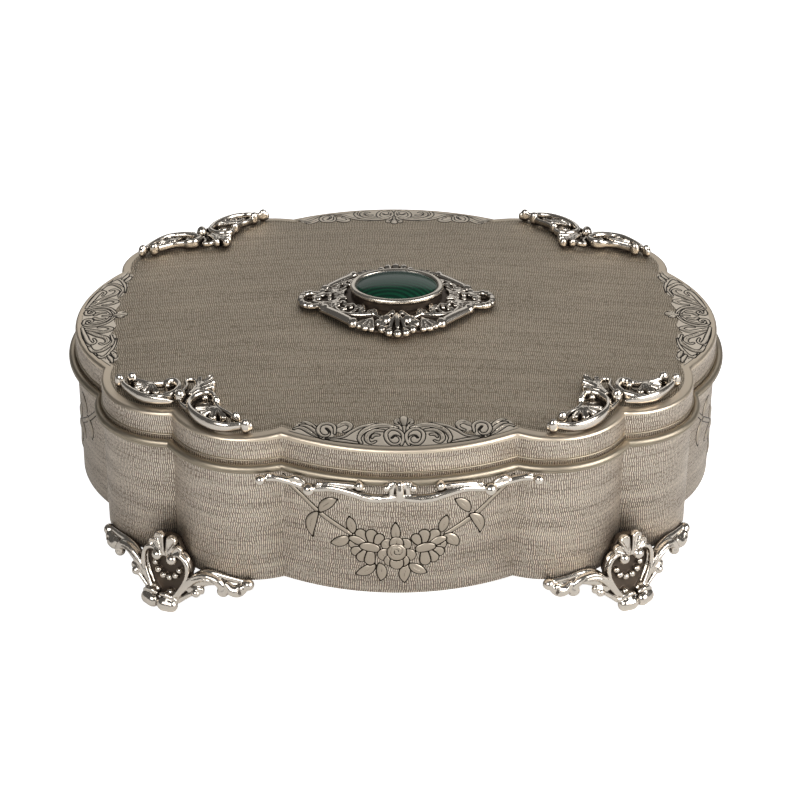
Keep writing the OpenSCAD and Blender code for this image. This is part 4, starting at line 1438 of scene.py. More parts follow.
@dataclass
class CornerMounts:
    """Four cast mounts of scrolls and leaves, one over each corner notch of the lid."""

    finishes: Finishes
    leaf: float = 1.45
    wings: tuple[Wing, ...] = (
        # Hooked curl and eye loop
        Wing(ground=((-20.5, -7.0, 2.6), (-15.5, -6.8, 4.0), (-10.6, -8.4, 4.4), (-9.4, -12.4, 3.4),
                     (-5.6, -15.6, 3.2)),
             ribs=(
                 (1.35, ((-24.2, -6.6, 0.9), (-22.6, -5.0, 0.95), (-18.1, -2.9, 1.1), (-12.9, -1.6, 1.2),
                         (-8.2, -2.3, 1.0), (-5.0, -3.8, 0.75), (-2.9, -4.7, 0.4))),
                 (1.35, ((-9.4, -3.0, 0.9), (-6.9, -5.2, 1.0), (-5.4, -9.4, 1.1), (-6.6, -13.8, 1.2),
                         (-9.8, -16.0, 1.3), (-11.8, -14.4, 1.2), (-11.0, -12.4, 0.9))),
                 (1.35, ((-22.6, -9.8, 0.9), (-19.2, -10.2, 0.8), (-15.6, -10.8, 0.75),
                         (-13.0, -12.8, 0.85), (-12.0, -14.6, 0.9))),
                 (1.3, ((-4.2, -12.6, 0.55), (-5.6, -16.6, 0.55), (-8.2, -19.6, 0.6), (-6.4, -21.4, 0.6),
                        (-3.6, -19.4, 0.6), (-2.0, -15.4, 0.55), (-1.4, -12.4, 0.55)))),
             root=(-14.6, -9.6, 0.8),
             tips=((-19.0, -7.6, 1.3), (-16.9, -4.9, 1.5), (-13.2, -4.3, 1.6), (-10.7, -6.6, 1.3)),
             balls=((-26.4, -7.2, 1.35, 1.6), (-27.4, -8.1, 1.2, 1.0), (-23.2, -10.0, 1.5, 1.7),
                    (-10.2, -12.0, 1.4, 1.0))),
        # Long rib that runs up beside the fan
        Wing(ground=((20.0, -4.4, 2.6), (14.5, -4.4, 4.0), (9.0, -7.0, 4.4), (5.4, -11.4, 4.0)),
             ribs=(
                 (1.35, ((25.2, -5.2, 0.9), (23.8, -3.2, 0.95), (21.6, -0.7, 1.05), (17.6, 0.5, 1.2),
                         (12.0, -0.3, 1.25), (6.5, -2.9, 1.15), (2.7, -6.8, 1.05), (1.5, -11.4, 1.0),
                         (2.6, -15.2, 1.0), (5.2, -16.2, 0.95), (7.2, -14.6, 0.9))),
                 (1.35, ((20.6, -7.2, 0.85), (17.6, -8.6, 0.75), (14.0, -9.2, 0.75), (11.4, -10.4, 0.8),
                         (9.8, -11.8, 0.9)))),
             root=(12.6, -8.2, 0.8),
             tips=((8.4, -4.4, 1.5), (11.4, -2.9, 1.5), (15.0, -3.0, 1.4), (17.4, -5.6, 1.2)),
             balls=((26.4, -5.2, 1.35, 1.65), (27.3, -6.3, 1.2, 1.0), (21.4, -7.0, 1.5, 1.7),
                    (9.6, -12.4, 1.45, 1.5), (5.0, -12.4, 1.3, 1.1))))

    def carve(self) -> Carving:
        """Model one mount as (along the edge, out of the notch, height above the lid).

        Returns:
            The carving.
        """
        wax = Carving((-29.2, -28.4, -1.2), (29.2, 2.8, 4.6), (0.28, 0.28, 0.28))
        self.fan(wax)
        for wing in self.wings:
            self.sheet(wax, wing.ground)
            for high, line in wing.ribs:
                wax.stroke([(t, e, high, r) for t, e, r in line], 0.08, 5)
            root = (*wing.root[:2], self.leaf + 0.2, wing.root[2])
            for t, e, r in wing.tips:
                wax.petal(root, (t, e, self.leaf - 0.3, r), (0, 0, 1), 0.06)
            for t, e, h, r in wing.balls:
                wax.ball((t, e, h), r, 0.08)
        wax.limit(np.maximum(0.03 - wax.grid()[2], wax.grid()[2] - 4.2))
        return wax

    def sheet(self, wax: Carving, spots: Rows) -> None:
        """Lay the thin ground between the scrolls."""
        for t, e, r in spots:
            wax.ball((t, e, 0.1), r, 0.3, squash=(1.0, 1.0, 0.14))

    def fan(self, wax: Carving) -> None:
        """Model the pointed leaf that reaches to the middle of the lid, and the ball in the notch.

        Args:
            wax: the carving that takes the shapes.
        """
        self.sheet(wax, ((-0.6, -9.6, 3.4), (-0.4, -14.6, 3.6), (-0.6, -19.4, 3.4), (-1.4, -22.6, 2.2)))
        wax.stroke([(-2.4, -9.0, 1.45, 1.75), (-2.0, -8.0, 1.6, 1.85)], 0.08, 1)
        root = (-0.2, -12.0)
        for t, e, r, bend in ((-4.4, -22.2, 1.15, -0.1), (-2.3, -25.3, 1.25, 0.0), (0.2, -22.6, 1.25, 0.1),
                              (2.2, -19.6, 1.25, 0.14)):
            middle = (0.5 * (root[0] + t) + bend * (e - root[1]), 0.5 * (root[1] + e))
            wax.stroke([(*root, 1.4, 0.6), (*middle, 1.35, 0.8), (t, e, 1.3, r)], 0.06, 5)
            nearer = (0.7 * t + 0.3 * middle[0], 0.7 * e + 0.3 * middle[1])
            wax.stroke([(*middle, 2.25, 0.25), (*nearer, 2.3, 0.4), (t, e, 2.4, 0.3)], 0.06, carve=True)
            wax.ball((t, e - 0.7, 1.2), 0.8, 0.06)
        wax.stroke([(-2.0, -7.0, 1.3, 0.6), (0.8, -5.2, 1.2, 0.6), (4.4, -3.6, 1.2, 0.6),
                    (7.4, -2.2, 1.2, 0.7)], 0.08)

    def build(self) -> None:
        """Cast the four mounts."""
        def carry(points: np.ndarray) -> np.ndarray:
            """Set the wax over the corner notch, a little askew and taller, as in the photograph."""
            t, e, h = points.T
            leant = np.column_stack([t + 0.22 - 0.16 * e, 1.3 + 0.8 * e])
            return on_dome(np.column_stack([corner_plan(leant), 1.6 * h]))

        mounts = cast(self.carve(), quartered("corner_mount_{}_cast", carry), height, (0.4, 0.9, 1.5),
                      lambda p: (0.8 - p[:, 2]) / 0.4)
        for mount, quarter in zip(mounts, Quarter):
            place(mount, "lid", self.finishes.cast, [f"corner_mount_{quarter.name}"])


@dataclass
class Plaque:
    """The cast plaque under the stone, its oval collet and the cabochon."""

    finishes: Finishes
    nodes: dict[str, Object]
    half_stone: tuple[float, float] = (15.0, 11.5)
    sides: int = 96
    swell: float = 2.4

    def carve(self) -> Carving:
        """Model the plaque as (x, y, height above its ground).

        Returns:
            The carving.
        """
        wax = Carving((-36.0, -28.4, -1.0), (36.0, 28.4, 4.4), (0.3, 0.3, 0.3))
        x, y, h = wax.grid()
        # Ground: a thin plate with the outline of the bars, loops and fans
        across = np.abs(x) / 33.0 + np.abs(y) / 38.0
        plate = np.minimum.reduce(np.broadcast_arrays(
            np.maximum(np.maximum(np.abs(x) - 29.0, np.abs(y) - 21.0), (across - 0.80) * 24.0),
            np.hypot(x, (np.abs(y) - 18.4)) - 6.0, np.hypot((np.abs(x) - 29.6) / 1.2, y) - 3.8))
        holes = np.minimum.reduce(np.broadcast_arrays(*[
            np.hypot(np.abs(x) - a, np.abs(y) - b) - r for a, b, r in
            ((30.4, 1.9, 1.0), (19.8, 9.2, 1.1), (11.9, 15.7, 0.9), (22.4, 4.4, 0.8))]))
        wax.fill(np.maximum.reduce(np.broadcast_arrays(plate, h - 0.7, -0.6 - h, -holes)))
        for sx in (-1, 1):
            for sy in (-1, 1):
                self.quarter(wax, sx, sy)
            self.loop(wax, sx)
        for sy in (-1, 1):
            self.fan(wax, sy)
        wax.limit(-0.5 - h)
        return wax

    def quarter(self, wax: Carving, sx: int, sy: int) -> None:
        """Model the bar, scrolls, leaves and berries of one quarter.

        Args:
            wax: the carving that takes the shapes.
            sx: sign of the quarter's x.
            sy: sign of the quarter's y.
        """
        def line(rows: Rows, high: float = 1.2) -> None:
            """Lay a rod along (x, y, radius) rows."""
            wax.stroke([(sx * x, sy * y, high, r) for x, y, r in rows], 0.06, 5)

        def leaf(root: Row, tips: Rows, high: float = 1.3) -> None:
            """Lay hollow petals from a root to each tip."""
            start = (sx * root[0], sy * root[1], high, root[2])
            for x, y, r in tips:
                wax.petal(start, (sx * x, sy * y, high, r), (0, 0, 1), 0.06)

        # Straight rod with knob ends, and the lumps of leaf between it and the fan
        line([(24.6, 7.6, 1.5), (15.6, 16.5, 1.5)])
        for x, y, r in ((25.0, 7.0, 1.8), (15.2, 17.0, 1.8), (26.1, 5.0, 1.3)):
            wax.ball((sx * x, sy * y, 1.3), r, 0.06)
        leaf((8.6, 15.8, 0.7), ((13.0, 18.2, 1.35), (11.1, 19.6, 1.4), (8.9, 20.3, 1.3)), 1.1)
        # C scrolls and their inner curls
        line([(5.6, 15.4, 0.5), (8.4, 13.6, 0.55), (13.0, 13.0, 0.6), (17.8, 11.4, 0.6), (20.8, 8.2, 0.6),
              (21.0, 5.4, 0.55), (19.0, 4.4, 0.55), (17.6, 5.8, 0.6)])
        line([(16.9, 11.9, 0.5), (14.4, 10.4, 0.5), (14.8, 7.8, 0.55), (17.0, 7.4, 0.6), (17.8, 9.0, 0.65)])
        line([(10.8, 13.5, 0.5), (9.4, 11.9, 0.5), (7.4, 12.2, 0.55), (7.0, 13.8, 0.6)])
        line([(26.4, 4.6, 0.6), (24.2, 3.2, 0.6), (21.8, 3.2, 0.6), (20.0, 2.0, 0.6), (18.6, 0.6, 0.55)])
        for x, y, r in ((18.9, 9.3, 0.9), (17.9, 6.6, 0.95), (8.2, 13.4, 0.8), (12.6, 12.0, 0.85),
                        (20.2, 6.5, 0.8), (15.9, 9.0, 0.8), (23.4, 1.4, 1.0)):
            wax.ball((sx * x, sy * y, 1.4), r, 0.06)
        leaf((20.6, 3.6, 0.6), ((23.6, 5.4, 0.95), (22.2, 6.6, 0.9)))
        leaf((11.4, 11.6, 0.6), ((13.4, 9.4, 0.9), (11.8, 8.9, 0.8)))
        leaf((17.6, 3.2, 0.5), ((19.4, 0.8, 0.8), (21.2, 0.9, 0.8)))
        # Bulb curls beside the fan
        line([(2.2, 13.6, 0.6), (3.4, 15.0, 0.75), (5.2, 15.8, 0.8), (6.2, 17.6, 0.8), (5.6, 19.2, 0.75),
              (4.3, 18.6, 0.7)], 1.3)
        wax.ball((sx * 4.2, sy * 17.6, 1.4), 1.0, 0.06)

    def loop(self, wax: Carving, sx: int) -> None:
        """Model the side loop with its lumpy rim and inner curl.

        Args:
            wax: the carving that takes the shapes.
            sx: sign of the side's x.
        """
        wax.stroke([(sx * x, y, 1.15, r) for x, y, r in (
            (25.4, 3.2, 0.9), (27.6, 4.3, 0.95), (30.8, 4.4, 1.0), (33.0, 2.5, 1.1), (33.3, 0.0, 1.1),
            (33.0, -2.5, 1.1), (30.8, -4.4, 1.0), (27.6, -4.3, 0.95), (25.4, -3.2, 0.9))], 0.06, 5)
        for sy in (-1, 1):
            for a in (8, 32, 57, 83):
                turn = math.radians(a)
                wax.ball((sx * (29.8 + 3.6 * math.cos(turn)), sy * 4.5 * math.sin(turn), 1.5), 1.25, 0.04)
            wax.stroke([(sx * x, sy * y, 1.2, r) for x, y, r in (
                (25.4, 2.6, 0.7), (27.4, 2.6, 0.75), (28.8, 1.4, 0.8), (27.8, 0.2, 0.8))], 0.06, 4)
        wax.ball((sx * 27.4, 0, 1.3), 1.3, 0.06)

    def fan(self, wax: Carving, sy: int) -> None:
        """Model the fan at the front or the back: lumps round its edge, bulbs and a lyre within.

        Args:
            wax: the carving that takes the shapes.
            sy: -1 for the front, 1 for the back.
        """
        for turn in (78, -78, 52, -52, 26, -26, 0):
            a = math.radians(turn)
            wax.stroke([(4.4 * math.sin(a), sy * (16.8 + 4.6 * math.cos(a)), 1.0, 0.7),
                        (6.5 * math.sin(a), sy * (16.8 + 7.0 * math.cos(a)), 1.3, 1.5)], 0.05, 1)
        wax.stroke([(0, sy * 14.6, 1.5, 0.6), (0, sy * 17.4, 1.7, 0.9), (0, sy * 20.2, 1.4, 0.7)], 0.1, 4)
        for sx in (-1, 1):
            wax.stroke([(sx * 0.6, sy * 15.0, 1.4, 0.6), (sx * 1.7, sy * 17.4, 1.5, 0.7),
                        (sx * 2.6, sy * 20.6, 1.4, 0.7)], 0.06, 4)
            wax.ball((sx * 3.6, sy * 16.9, 1.5), 1.7, 0.06)
            wax.ball((sx * 1.5, sy * 13.9, 1.4), 0.95, 0.06)

    def carry(self, points: np.ndarray) -> np.ndarray:
        """Set the wax on the lid, swelling up towards the collet.

        Args:
            points: (n, 3) points in the wax's own coordinates.

        Returns:
            The points on the casket.
        """
        share = np.hypot(points[:, 0] / 16.6, points[:, 1] / 13.1) - 1.0
        swell = self.swell * np.clip(1.0 - share / 0.72, 0, 1) ** 1.5
        lifted = points * (1.0, 1.05, 1.0)
        lifted[:, 2] += swell + 0.5
        return on_dome(lifted)

    def collet(self) -> Object:
        """Turn the collet: a broad polished rim that folds over the stone's edge.

        Returns:
            The collet as a mesh object.
        """
        clear = 0.05
        low, top = LEVEL.plate + 0.02, LEVEL.collet_top
        skirt = [(clear, low), (1.6, low), (1.6, low + 0.5), (1.15, low + 0.9), (0.9, low + 1.6),
                 (0.8, top - 2.4)]
        roll = arc((0.2, top - 1.05), 1.05, -50, 160, 20)
        profile = [*skirt, *roll, (-0.45, top - 1.1), (-0.15, top - 1.5), (clear, top - 2.0)]
        # Painted shade: the skirt below the rolled rim and the inner lip take the full dark colour, and the
        # roll's first ring part of it. This is shade under the rim together with oxide.
        dark = np.repeat([1.0] * len(skirt) + [0.6] + [0.0] * (len(roll) - 1) + [1.0] * 3, self.sides)
        angle = np.linspace(0, 2 * math.pi, self.sides, endpoint=False)
        points, faces, n = [], [], len(profile)
        for grow, level in profile:
            points.append(np.column_stack([(self.half_stone[0] + grow) * np.cos(angle),
                                           (self.half_stone[1] + grow) * np.sin(angle),
                                           np.full(self.sides, level)]))
        for j in range(n):
            for i in range(self.sides):
                a, b, k = j * self.sides, (j + 1) % n * self.sides, (i + 1) % self.sides
                faces.append([a + i, a + k, b + k, b + i])
        spots, quads = np.concatenate(points), np.array(faces)
        return build_mesh("collet_rolled", spots, quads if encloses(spots, quads) else quads[:, ::-1], 60,
                          {"recess": dark})

    def build(self) -> None:
        """Build plaque, collet and stone."""
        f = self.finishes
        wax = self.carve()
        plaque, = cast(wax, {"plaque_cast": self.carry}, height, (0.5, 1.0, 1.7),
                       lambda p: (1.0 - p[:, 2]) / 0.3)
        place(plaque, "lid", f.cast, ["plaque"])
        place(self.collet(), "lid", f.rolled, ["collet"])
        place(Cabochon(self.half_stone).make(f.malachite), "lid", f.malachite, ["cabochon"])
        dress(self.nodes["stone_bed"], f.plain)


@dataclass
class Cabochon:
    """The oval stone: a straight girdle and a smooth crown, grown by rule in Geometry Nodes."""

    half: tuple[float, float]
    low: float = 80.7
    girdle: float = 83.0
    crown: float = 4.36

    def tree(self) -> Tree:
        """Build the rule: a ball squashed to the crown above and pushed out to a girdle below.

        Returns:
            The tree, with the stone's sizes as named inputs.
        """
        rule = Tree("cabochon")
        tree = rule.tree
        ball = add(tree, "GeometryNodeMeshUVSphere", {"Segments": 96, "Rings": 64, "Radius": 1.0})
        spot = add(tree, "ShaderNodeSeparateXYZ", (add(tree, "GeometryNodeInputPosition"),))
        made = dict(zip("xyz", spot.outputs))
        for name in ("Half Length", "Half Width", "Bed", "Girdle", "Crown"):
            made[name] = rule.take(name, "NodeSocketFloat", 1.0)
        for name, operation, *feeds in (
                ("above", "MAXIMUM", "z", 0.0), ("up", "MULTIPLY", "above", "Crown"),
                # Below the girdle: a straight side and a flat underside
                ("square", "MULTIPLY", "z", "z"), ("left", "SUBTRACT", 1.0, "square"),
                ("safe", "MAXIMUM", "left", 1e-6), ("side", "SQRT", "safe"),
                ("pushed", "MULTIPLY", "side", 1.8), ("wide", "MINIMUM", "pushed", 1.0),
                ("is low", "LESS_THAN", "z", -0.001), ("grow", "DIVIDE", "wide", "side"),
                ("low", "MULTIPLY", "is low", "grow"), ("is high", "SUBTRACT", 1.0, "is low"),
                ("scale", "ADD", "low", "is high"),
                ("below", "MINIMUM", "z", 0.0), ("flat", "MULTIPLY", "below", -1.22),
                ("down", "MINIMUM", "flat", 1.0), ("depth", "SUBTRACT", "Girdle", "Bed"),
                ("drop", "MULTIPLY", "down", "depth"), ("raised", "ADD", "Girdle", "up"),
                ("level", "SUBTRACT", "raised", "drop"),
                ("x out", "MULTIPLY", "x", "scale"), ("along", "MULTIPLY", "x out", "Half Length"),
                ("y out", "MULTIPLY", "y", "scale"), ("across", "MULTIPLY", "y out", "Half Width")):
            made[name] = add(tree, MATH, [made.get(feed, feed) for feed in feeds], operation=operation)
        there = add(tree, "ShaderNodeCombineXYZ", [made[name] for name in ("along", "across", "level")])
        rule.close(add(tree, "GeometryNodeSetPosition", {"Geometry": ball, "Position": there}))
        return rule

    def make(self, material: Material) -> Object:
        """Grow the stone.

        Args:
            material: its finish.

        Returns:
            The stone as a plain mesh.
        """
        obj = build_mesh("cabochon_polished", np.zeros((1, 3)), [])
        return self.tree().run(
            obj, material, 60.0, Half_Length=self.half[0] * MM, Half_Width=self.half[1] * MM,
            Bed=self.low * MM, Girdle=self.girdle * MM, Crown=self.crown * MM)


@dataclass
class ThumbPiece:
    """The cast thumb piece that follows the moulding round the front of the lid."""

    finishes: Finishes
    moulding: float = 2.75
    clear: float = 0.3
    thin: float = 0.06

    def line(self, x: float) -> float:
        """Return y of the moulding's outside at x.

        Args:
            x: distance from the middle.

        Returns:
            y, which is negative at the front.
        """
        centre, radius = PLAN.circles()
        k = 0 if abs(x) < PLAN.front_notch[0] else 1
        return centre[k][1] - math.sqrt((radius[k] + self.moulding) ** 2 - (abs(x) - centre[k][0]) ** 2)

    def on(self, rows: Rows) -> list[tuple]:
        """Turn rows of (x, z, radius) to points in front of the moulding."""
        return [(x, self.line(x) - self.clear - r, z, r) for x, z, r in rows]

    def carve(self) -> Carving:
        """Model the thumb piece in the casket's own coordinates.

        Returns:
            The carving.
        """
        wax = Carving((-47.4, -98.2, 53.5), (47.4, -77.0, 65.9), (0.28, 0.28, 0.28))
        arms = [(0, 57.1, 1.3), (4.5, 56.4, 1.4), (9.8, 56.4, 1.5), (15.2, 57.7, 1.4), (21.5, 58.5, 1.25),
                (28.7, 57.1, 1.2), (34.9, 57.8, 1.2), (40.3, 58.7, 1.2), (44.8, 58.8, 1.1)]
        upper = [(11.6, 59.3, 0.7), (14.4, 60.1, 0.95), (18.2, 60.1, 0.9), (22.8, 59.7, 0.8),
                 (27.2, 58.3, 0.7)]
        leaf = [(30.4, 58.3, 0.8), (33.4, 59.6, 1.1), (37.0, 57.7, 1.0), (40.8, 59.3, 0.9)]
        for rows, soft in ((arms, 0.2), (upper, 0.1), (leaf, 0.1)):
            for curve in both(self.on(rows)):
                wax.stroke(curve, soft, 5)
        for x, z, r in ((44.8, 58.8, 1.75), (29.2, 57.0, 2.15), (26.0, 59.1, 1.15), (32.2, 59.1, 0.95),
                        (13.0, 60.5, 1.45), (4.3, 60.2, 1.3), (42.2, 59.9, 0.9)):
            for spot in both(self.on([(x, z, r)])):
                wax.stroke(spot, 0.1, 1)
        # The boss: three ribs that fan out downwards from a rounded top
        for x, push, r in ((2.5, 1.0, 1.15), (-2.5, 1.0, 1.15), (0, 1.9, 1.35)):
            wax.stroke([(1.05 * x, self.line(x) - push, 56.4, r), (x, self.line(x) - push - 0.3, 58.9, r),
                        (0.8 * x, self.line(x) - 0.75 * push, 61.4, r)], 0.06, 4)
        wax.stroke([(-3.0, self.line(3.0) - 0.6, 60.9, 1.3), (3.0, self.line(3.0) - 0.6, 60.9, 1.3)], 0.15, 3)
        # Groove that parts the two strands of each arm
        for cut in both([(x, self.line(x) - 3.1, z, 0.3) for x, z in ((6.5, 57.1), (11.0, 57.7), (16.0, 59.1),
                                                                     (21.0, 59.2), (26.0, 58.4))]):
            wax.stroke(cut, 0.1, 5, carve=True)
        self.seats(wax)
        x, y, z = wax.grid()
        wall = PLAN.gap(x, y)
        low = np.where(z < LEVEL.lid, self.moulding + self.clear,
                       np.where(z < LEVEL.lid + 1.45, self.moulding + self.thin, self.thin))
        wax.limit(low - wall)
        return wax

    def seats(self, wax: Carving) -> None:
        """Model the three seats that carry the casting on the lid's moulding and band."""
        for x in (-13.0, 0.0, 13.0):
            out = self.line(x)
            wax.stroke([(x, out - 0.9, 61.0, 1.1), (x, out + 0.5, 61.6, 0.6)], 0.3, 3)

    def build(self) -> None:
        """Cast the thumb piece."""
        def ground(points: np.ndarray) -> np.ndarray:
            """Return the distance to the moulding."""
            return PLAN.gap(points[:, 0], points[:, 1]) - self.moulding

        piece, = cast(self.carve(), {"thumb_piece_cast": np.copy}, ground)
        place(piece, "lid", self.finishes.cast, ["thumb_piece"])


# Chased ornament


class Lobe(Enum):
    """The four wide lobes, by their number in the plan."""

    front = 0
    right = 3
    back = 6
    left = 9


def on_lobe(lobe: Lobe, s: np.ndarray, out: np.ndarray) -> np.ndarray:
    """Return (x, y) at a distance along a lobe from its middle and out of its edge.

    Args:
        lobe: the lobe.
        s: distances along it.
        out: distances out of its edge.

    Returns:
        Points (n, 2).
    """
    centres, radii = PLAN.circles()
    notch, radius = PLAN.notches(), radii[lobe.value]
    chord = notch[(lobe.value + 1) % LOBES] - notch[lobe.value]
    angle = math.atan2(-chord[0], chord[1]) + s / radius
    return centres[lobe.value] + (radius + out)[:, None] * np.column_stack([np.cos(angle), np.sin(angle)])


class Chasing(Carving):
    """Low relief on a sheet: every shape has a cut outline, so that it lies over the last one."""

    margin = 0.8
    rim = 0.42
    floor = 0.06

    @staticmethod
    def depth(points: np.ndarray) -> np.ndarray:
        """Tell which points lie down in the cut outlines."""
        return (0.11 - points[:, 2]) / 0.03

    def lay(self, rows: Rows, flat: float = 0.3, lift: float = 0.0, steps: int = 6) -> None:
        """Lay one shape along a curve.

        Args:
            rows: (s, across, half width) along the shape's middle.
            flat: its height as a share of its half width.
            lift: how far it stands over the sheet already.
            steps: pieces between two rows.
        """
        line = [(a, b, lift, r) for a, b, r in rows]
        grown = [(a, b, self.floor + 3.0 * self.rim, r + self.rim) for a, b, r in rows]
        self.stroke(grown, 0.0, steps, (1.0, 1.0, 3.0), carve=True)
        self.stroke([(a, b, 0.0, r) for a, b, _, r in grown], 0.0, steps, (1.0, 1.0, 0.06))
        self.stroke(line, 0.0, steps, (1.0, 1.0, flat))

    def cut(self, rows: Rows, width: float, deep: float) -> None:
        """Cut a fine line from (s, across) rows."""
        self.stroke([(a, b, deep, width) for a, b in rows], 0.0, 6, (1.0, 1.0, 2.5), carve=True)

    def leaf(self, root: Row, tip: Row, width: float, bend: float) -> None:
        """Lay a pointed leaf with a vein from root to tip.

        Args:
            root: (s, across) of its root.
            tip: (s, across) of its tip.
            width: its full width.
            bend: how far it bows sideways, as a share of its length.
        """
        a, b = np.array(root, float), np.array(tip, float)
        side = np.array((a[1] - b[1], b[0] - a[0])) * bend
        rows = []
        for u, share in ((0.0, 0.25), (0.2, 0.75), (0.42, 1.0), (0.64, 0.86), (0.84, 0.45), (1.0, 0.1)):
            spot = a + (b - a) * u + side * 4 * u * (1 - u)
            rows.append((*spot, 0.5 * width * share))
        self.lay(rows, steps=4)
        self.cut([r[:2] for r in rows[:4]], 0.1, 0.12 * width + 0.1)


@dataclass
class Garland:
    """The rose garland chased on each of the four wide lobes of the wall."""

    finishes: Finishes
    leaves: tuple[tuple[float, ...], ...] = (
        (-25.6, 49.4, -19.8, 54.8, 3.4, 0.1), (-26.6, 48.6, -28.3, 39.0, 3.4, -0.16),
        (-14.6, 43.0, -15.8, 48.8, 3.0, 0.0), (-16.4, 40.8, -22.0, 37.9, 3.4, 0.1),
        (-0.6, 40.6, -0.8, 47.6, 2.8, 0.0), (-7.6, 31.0, -13.7, 27.0, 3.3, 0.08),
        (-5.9, 31.4, -5.6, 25.0, 3.2, 0.1),
        (3.3, 31.4, 2.4, 24.4, 3.4, -0.08), (4.2, 31.4, 9.6, 28.0, 3.2, -0.06),
        (14.2, 43.6, 16.0, 49.4, 3.0, 0.0), (15.4, 41.6, 19.8, 37.4, 3.6, 0.1),
        (23.4, 50.0, 18.6, 55.2, 3.2, -0.1), (24.0, 48.4, 27.4, 41.0, 3.4, 0.18))

    def carve(self) -> Chasing:
        """Model the garland as (along the lobe, up, out of the wall).

        Returns:
            The carving.
        """
        wax = Chasing((-40.0, 22.5, -0.32), (40.0, 61.2, 0.98), (0.22, 0.24, 0.1))
        for side in (-1, 1):
            shift = 0.4 if side > 0 else 0.0
            rows = ((38.6, 59.6, 0.6), (36.4, 57.2, 0.6), (31.6, 53.6, 0.62), (26.4, 49.2, 0.7),
                    (21.4, 45.9, 0.7), (15.4, 42.4, 0.6))
            wax.lay([(side * a + shift, b, r) for a, b, r in rows], 0.5)
        for a, b, c, d, width, bend in self.leaves:
            wax.leaf((a, b), (c, d), width, bend)
        for side in (-1, 1):
            self.flower(wax, side)
        self.rose(wax)
        wax.limit(-0.22 - wax.grid()[2])
        return wax

    @staticmethod
    def flower(wax: Chasing, s: int) -> None:
        """Lay the half-open flower at one side of the rose.

        Args:
            wax: the carving that takes the shapes.
            s: -1 or 1, the side of the rose.
        """
        for root, tip, width in (((-9.4, 37.4), (-15.4, 38.8), 3.6), ((-9.4, 37.2), (-14.6, 35.4), 3.4),
                                 ((-9.2, 37.0), (-12.4, 32.8), 3.4), ((-8.6, 37.0), (-9.2, 31.6), 3.4),
                                 ((-9.6, 39.6), (-12.6, 43.4), 3.6), ((-8.4, 39.4), (-8.6, 43.6), 3.6),
                                 ((-7.0, 39.2), (-5.6, 42.2), 3.0)):
            rows = [(s * (root[0] + u * (tip[0] - root[0])), root[1] + u * (tip[1] - root[1]),
                     0.5 * width * w) for u, w in ((0.0, 0.5), (0.45, 0.85), (0.8, 1.0))]
            wax.lay(rows, 0.2)
            for turn in (-0.3, 0.3):
                wax.cut([(rows[1][0] + turn, rows[1][1]), (rows[2][0] + 2 * turn, rows[2][1])], 0.08, 0.36)
        wax.lay([(s * -15.2, 40.6, 0.7), (s * -13.4, 40.2, 1.35), (s * -11.2, 39.0, 1.0)], 0.3, 0.08)
        wax.lay([(s * -11.2, 38.0, 1.1), (s * -9.2, 37.9, 1.6), (s * -7.2, 37.4, 1.3)], 0.26, 0.14)

    @staticmethod
    def rose(wax: Chasing) -> None:
        """Lay the open rose in the middle.

        Args:
            wax: the carving that takes the shapes.
        """
        middle = np.array((-0.3, 36.2))
        for turn, far in ((135, 5.0), (50, 5.0), (-15, 5.2), (195, 5.2), (-60, 4.8), (-120, 4.8), (-90, 5.4),
                          (92, 4.4)):
            way = np.array((math.cos(math.radians(turn)), math.sin(math.radians(turn))))
            rows = [(*(middle + way * reach), r) for reach, r in ((2.0, 1.5), (3.6, 2.0), (far - 1.0, 2.1))]
            wax.lay(rows, 0.19, 0.06)
            wax.cut([middle + way * 3.4, middle + way * (far + 0.2)], 0.09, 0.42)
        wax.lay([(*middle, 3.0)], 0.16, 0.2, 1)
        angle = np.radians(np.arange(0, 640, 40))
        wax.cut([middle + (0.15, 0.5) + np.array((math.cos(a), math.sin(a))) * (0.35 + 0.2 * a)
                 for a in angle], 0.14, 0.66)

    def build(self) -> None:
        """Chase the garland on the four lobes."""
        def carry(lobe: Lobe) -> Carry:
            """Return what sets the relief on one lobe of the wall."""
            return lambda p: np.column_stack([on_lobe(lobe, p[:, 0] - 0.5, p[:, 2]), p[:, 1] - 3.1])

        places = {f"garland_{lobe.name}_chased": carry(lobe) for lobe in Lobe}
        wax = self.carve()
        for piece in cast(wax, places, height, (0.12, 0.24, 0.4), wax.depth):
            place(piece, "body", self.finishes.engraved)


Stroke = tuple[float, tuple[tuple[float, float], ...]]


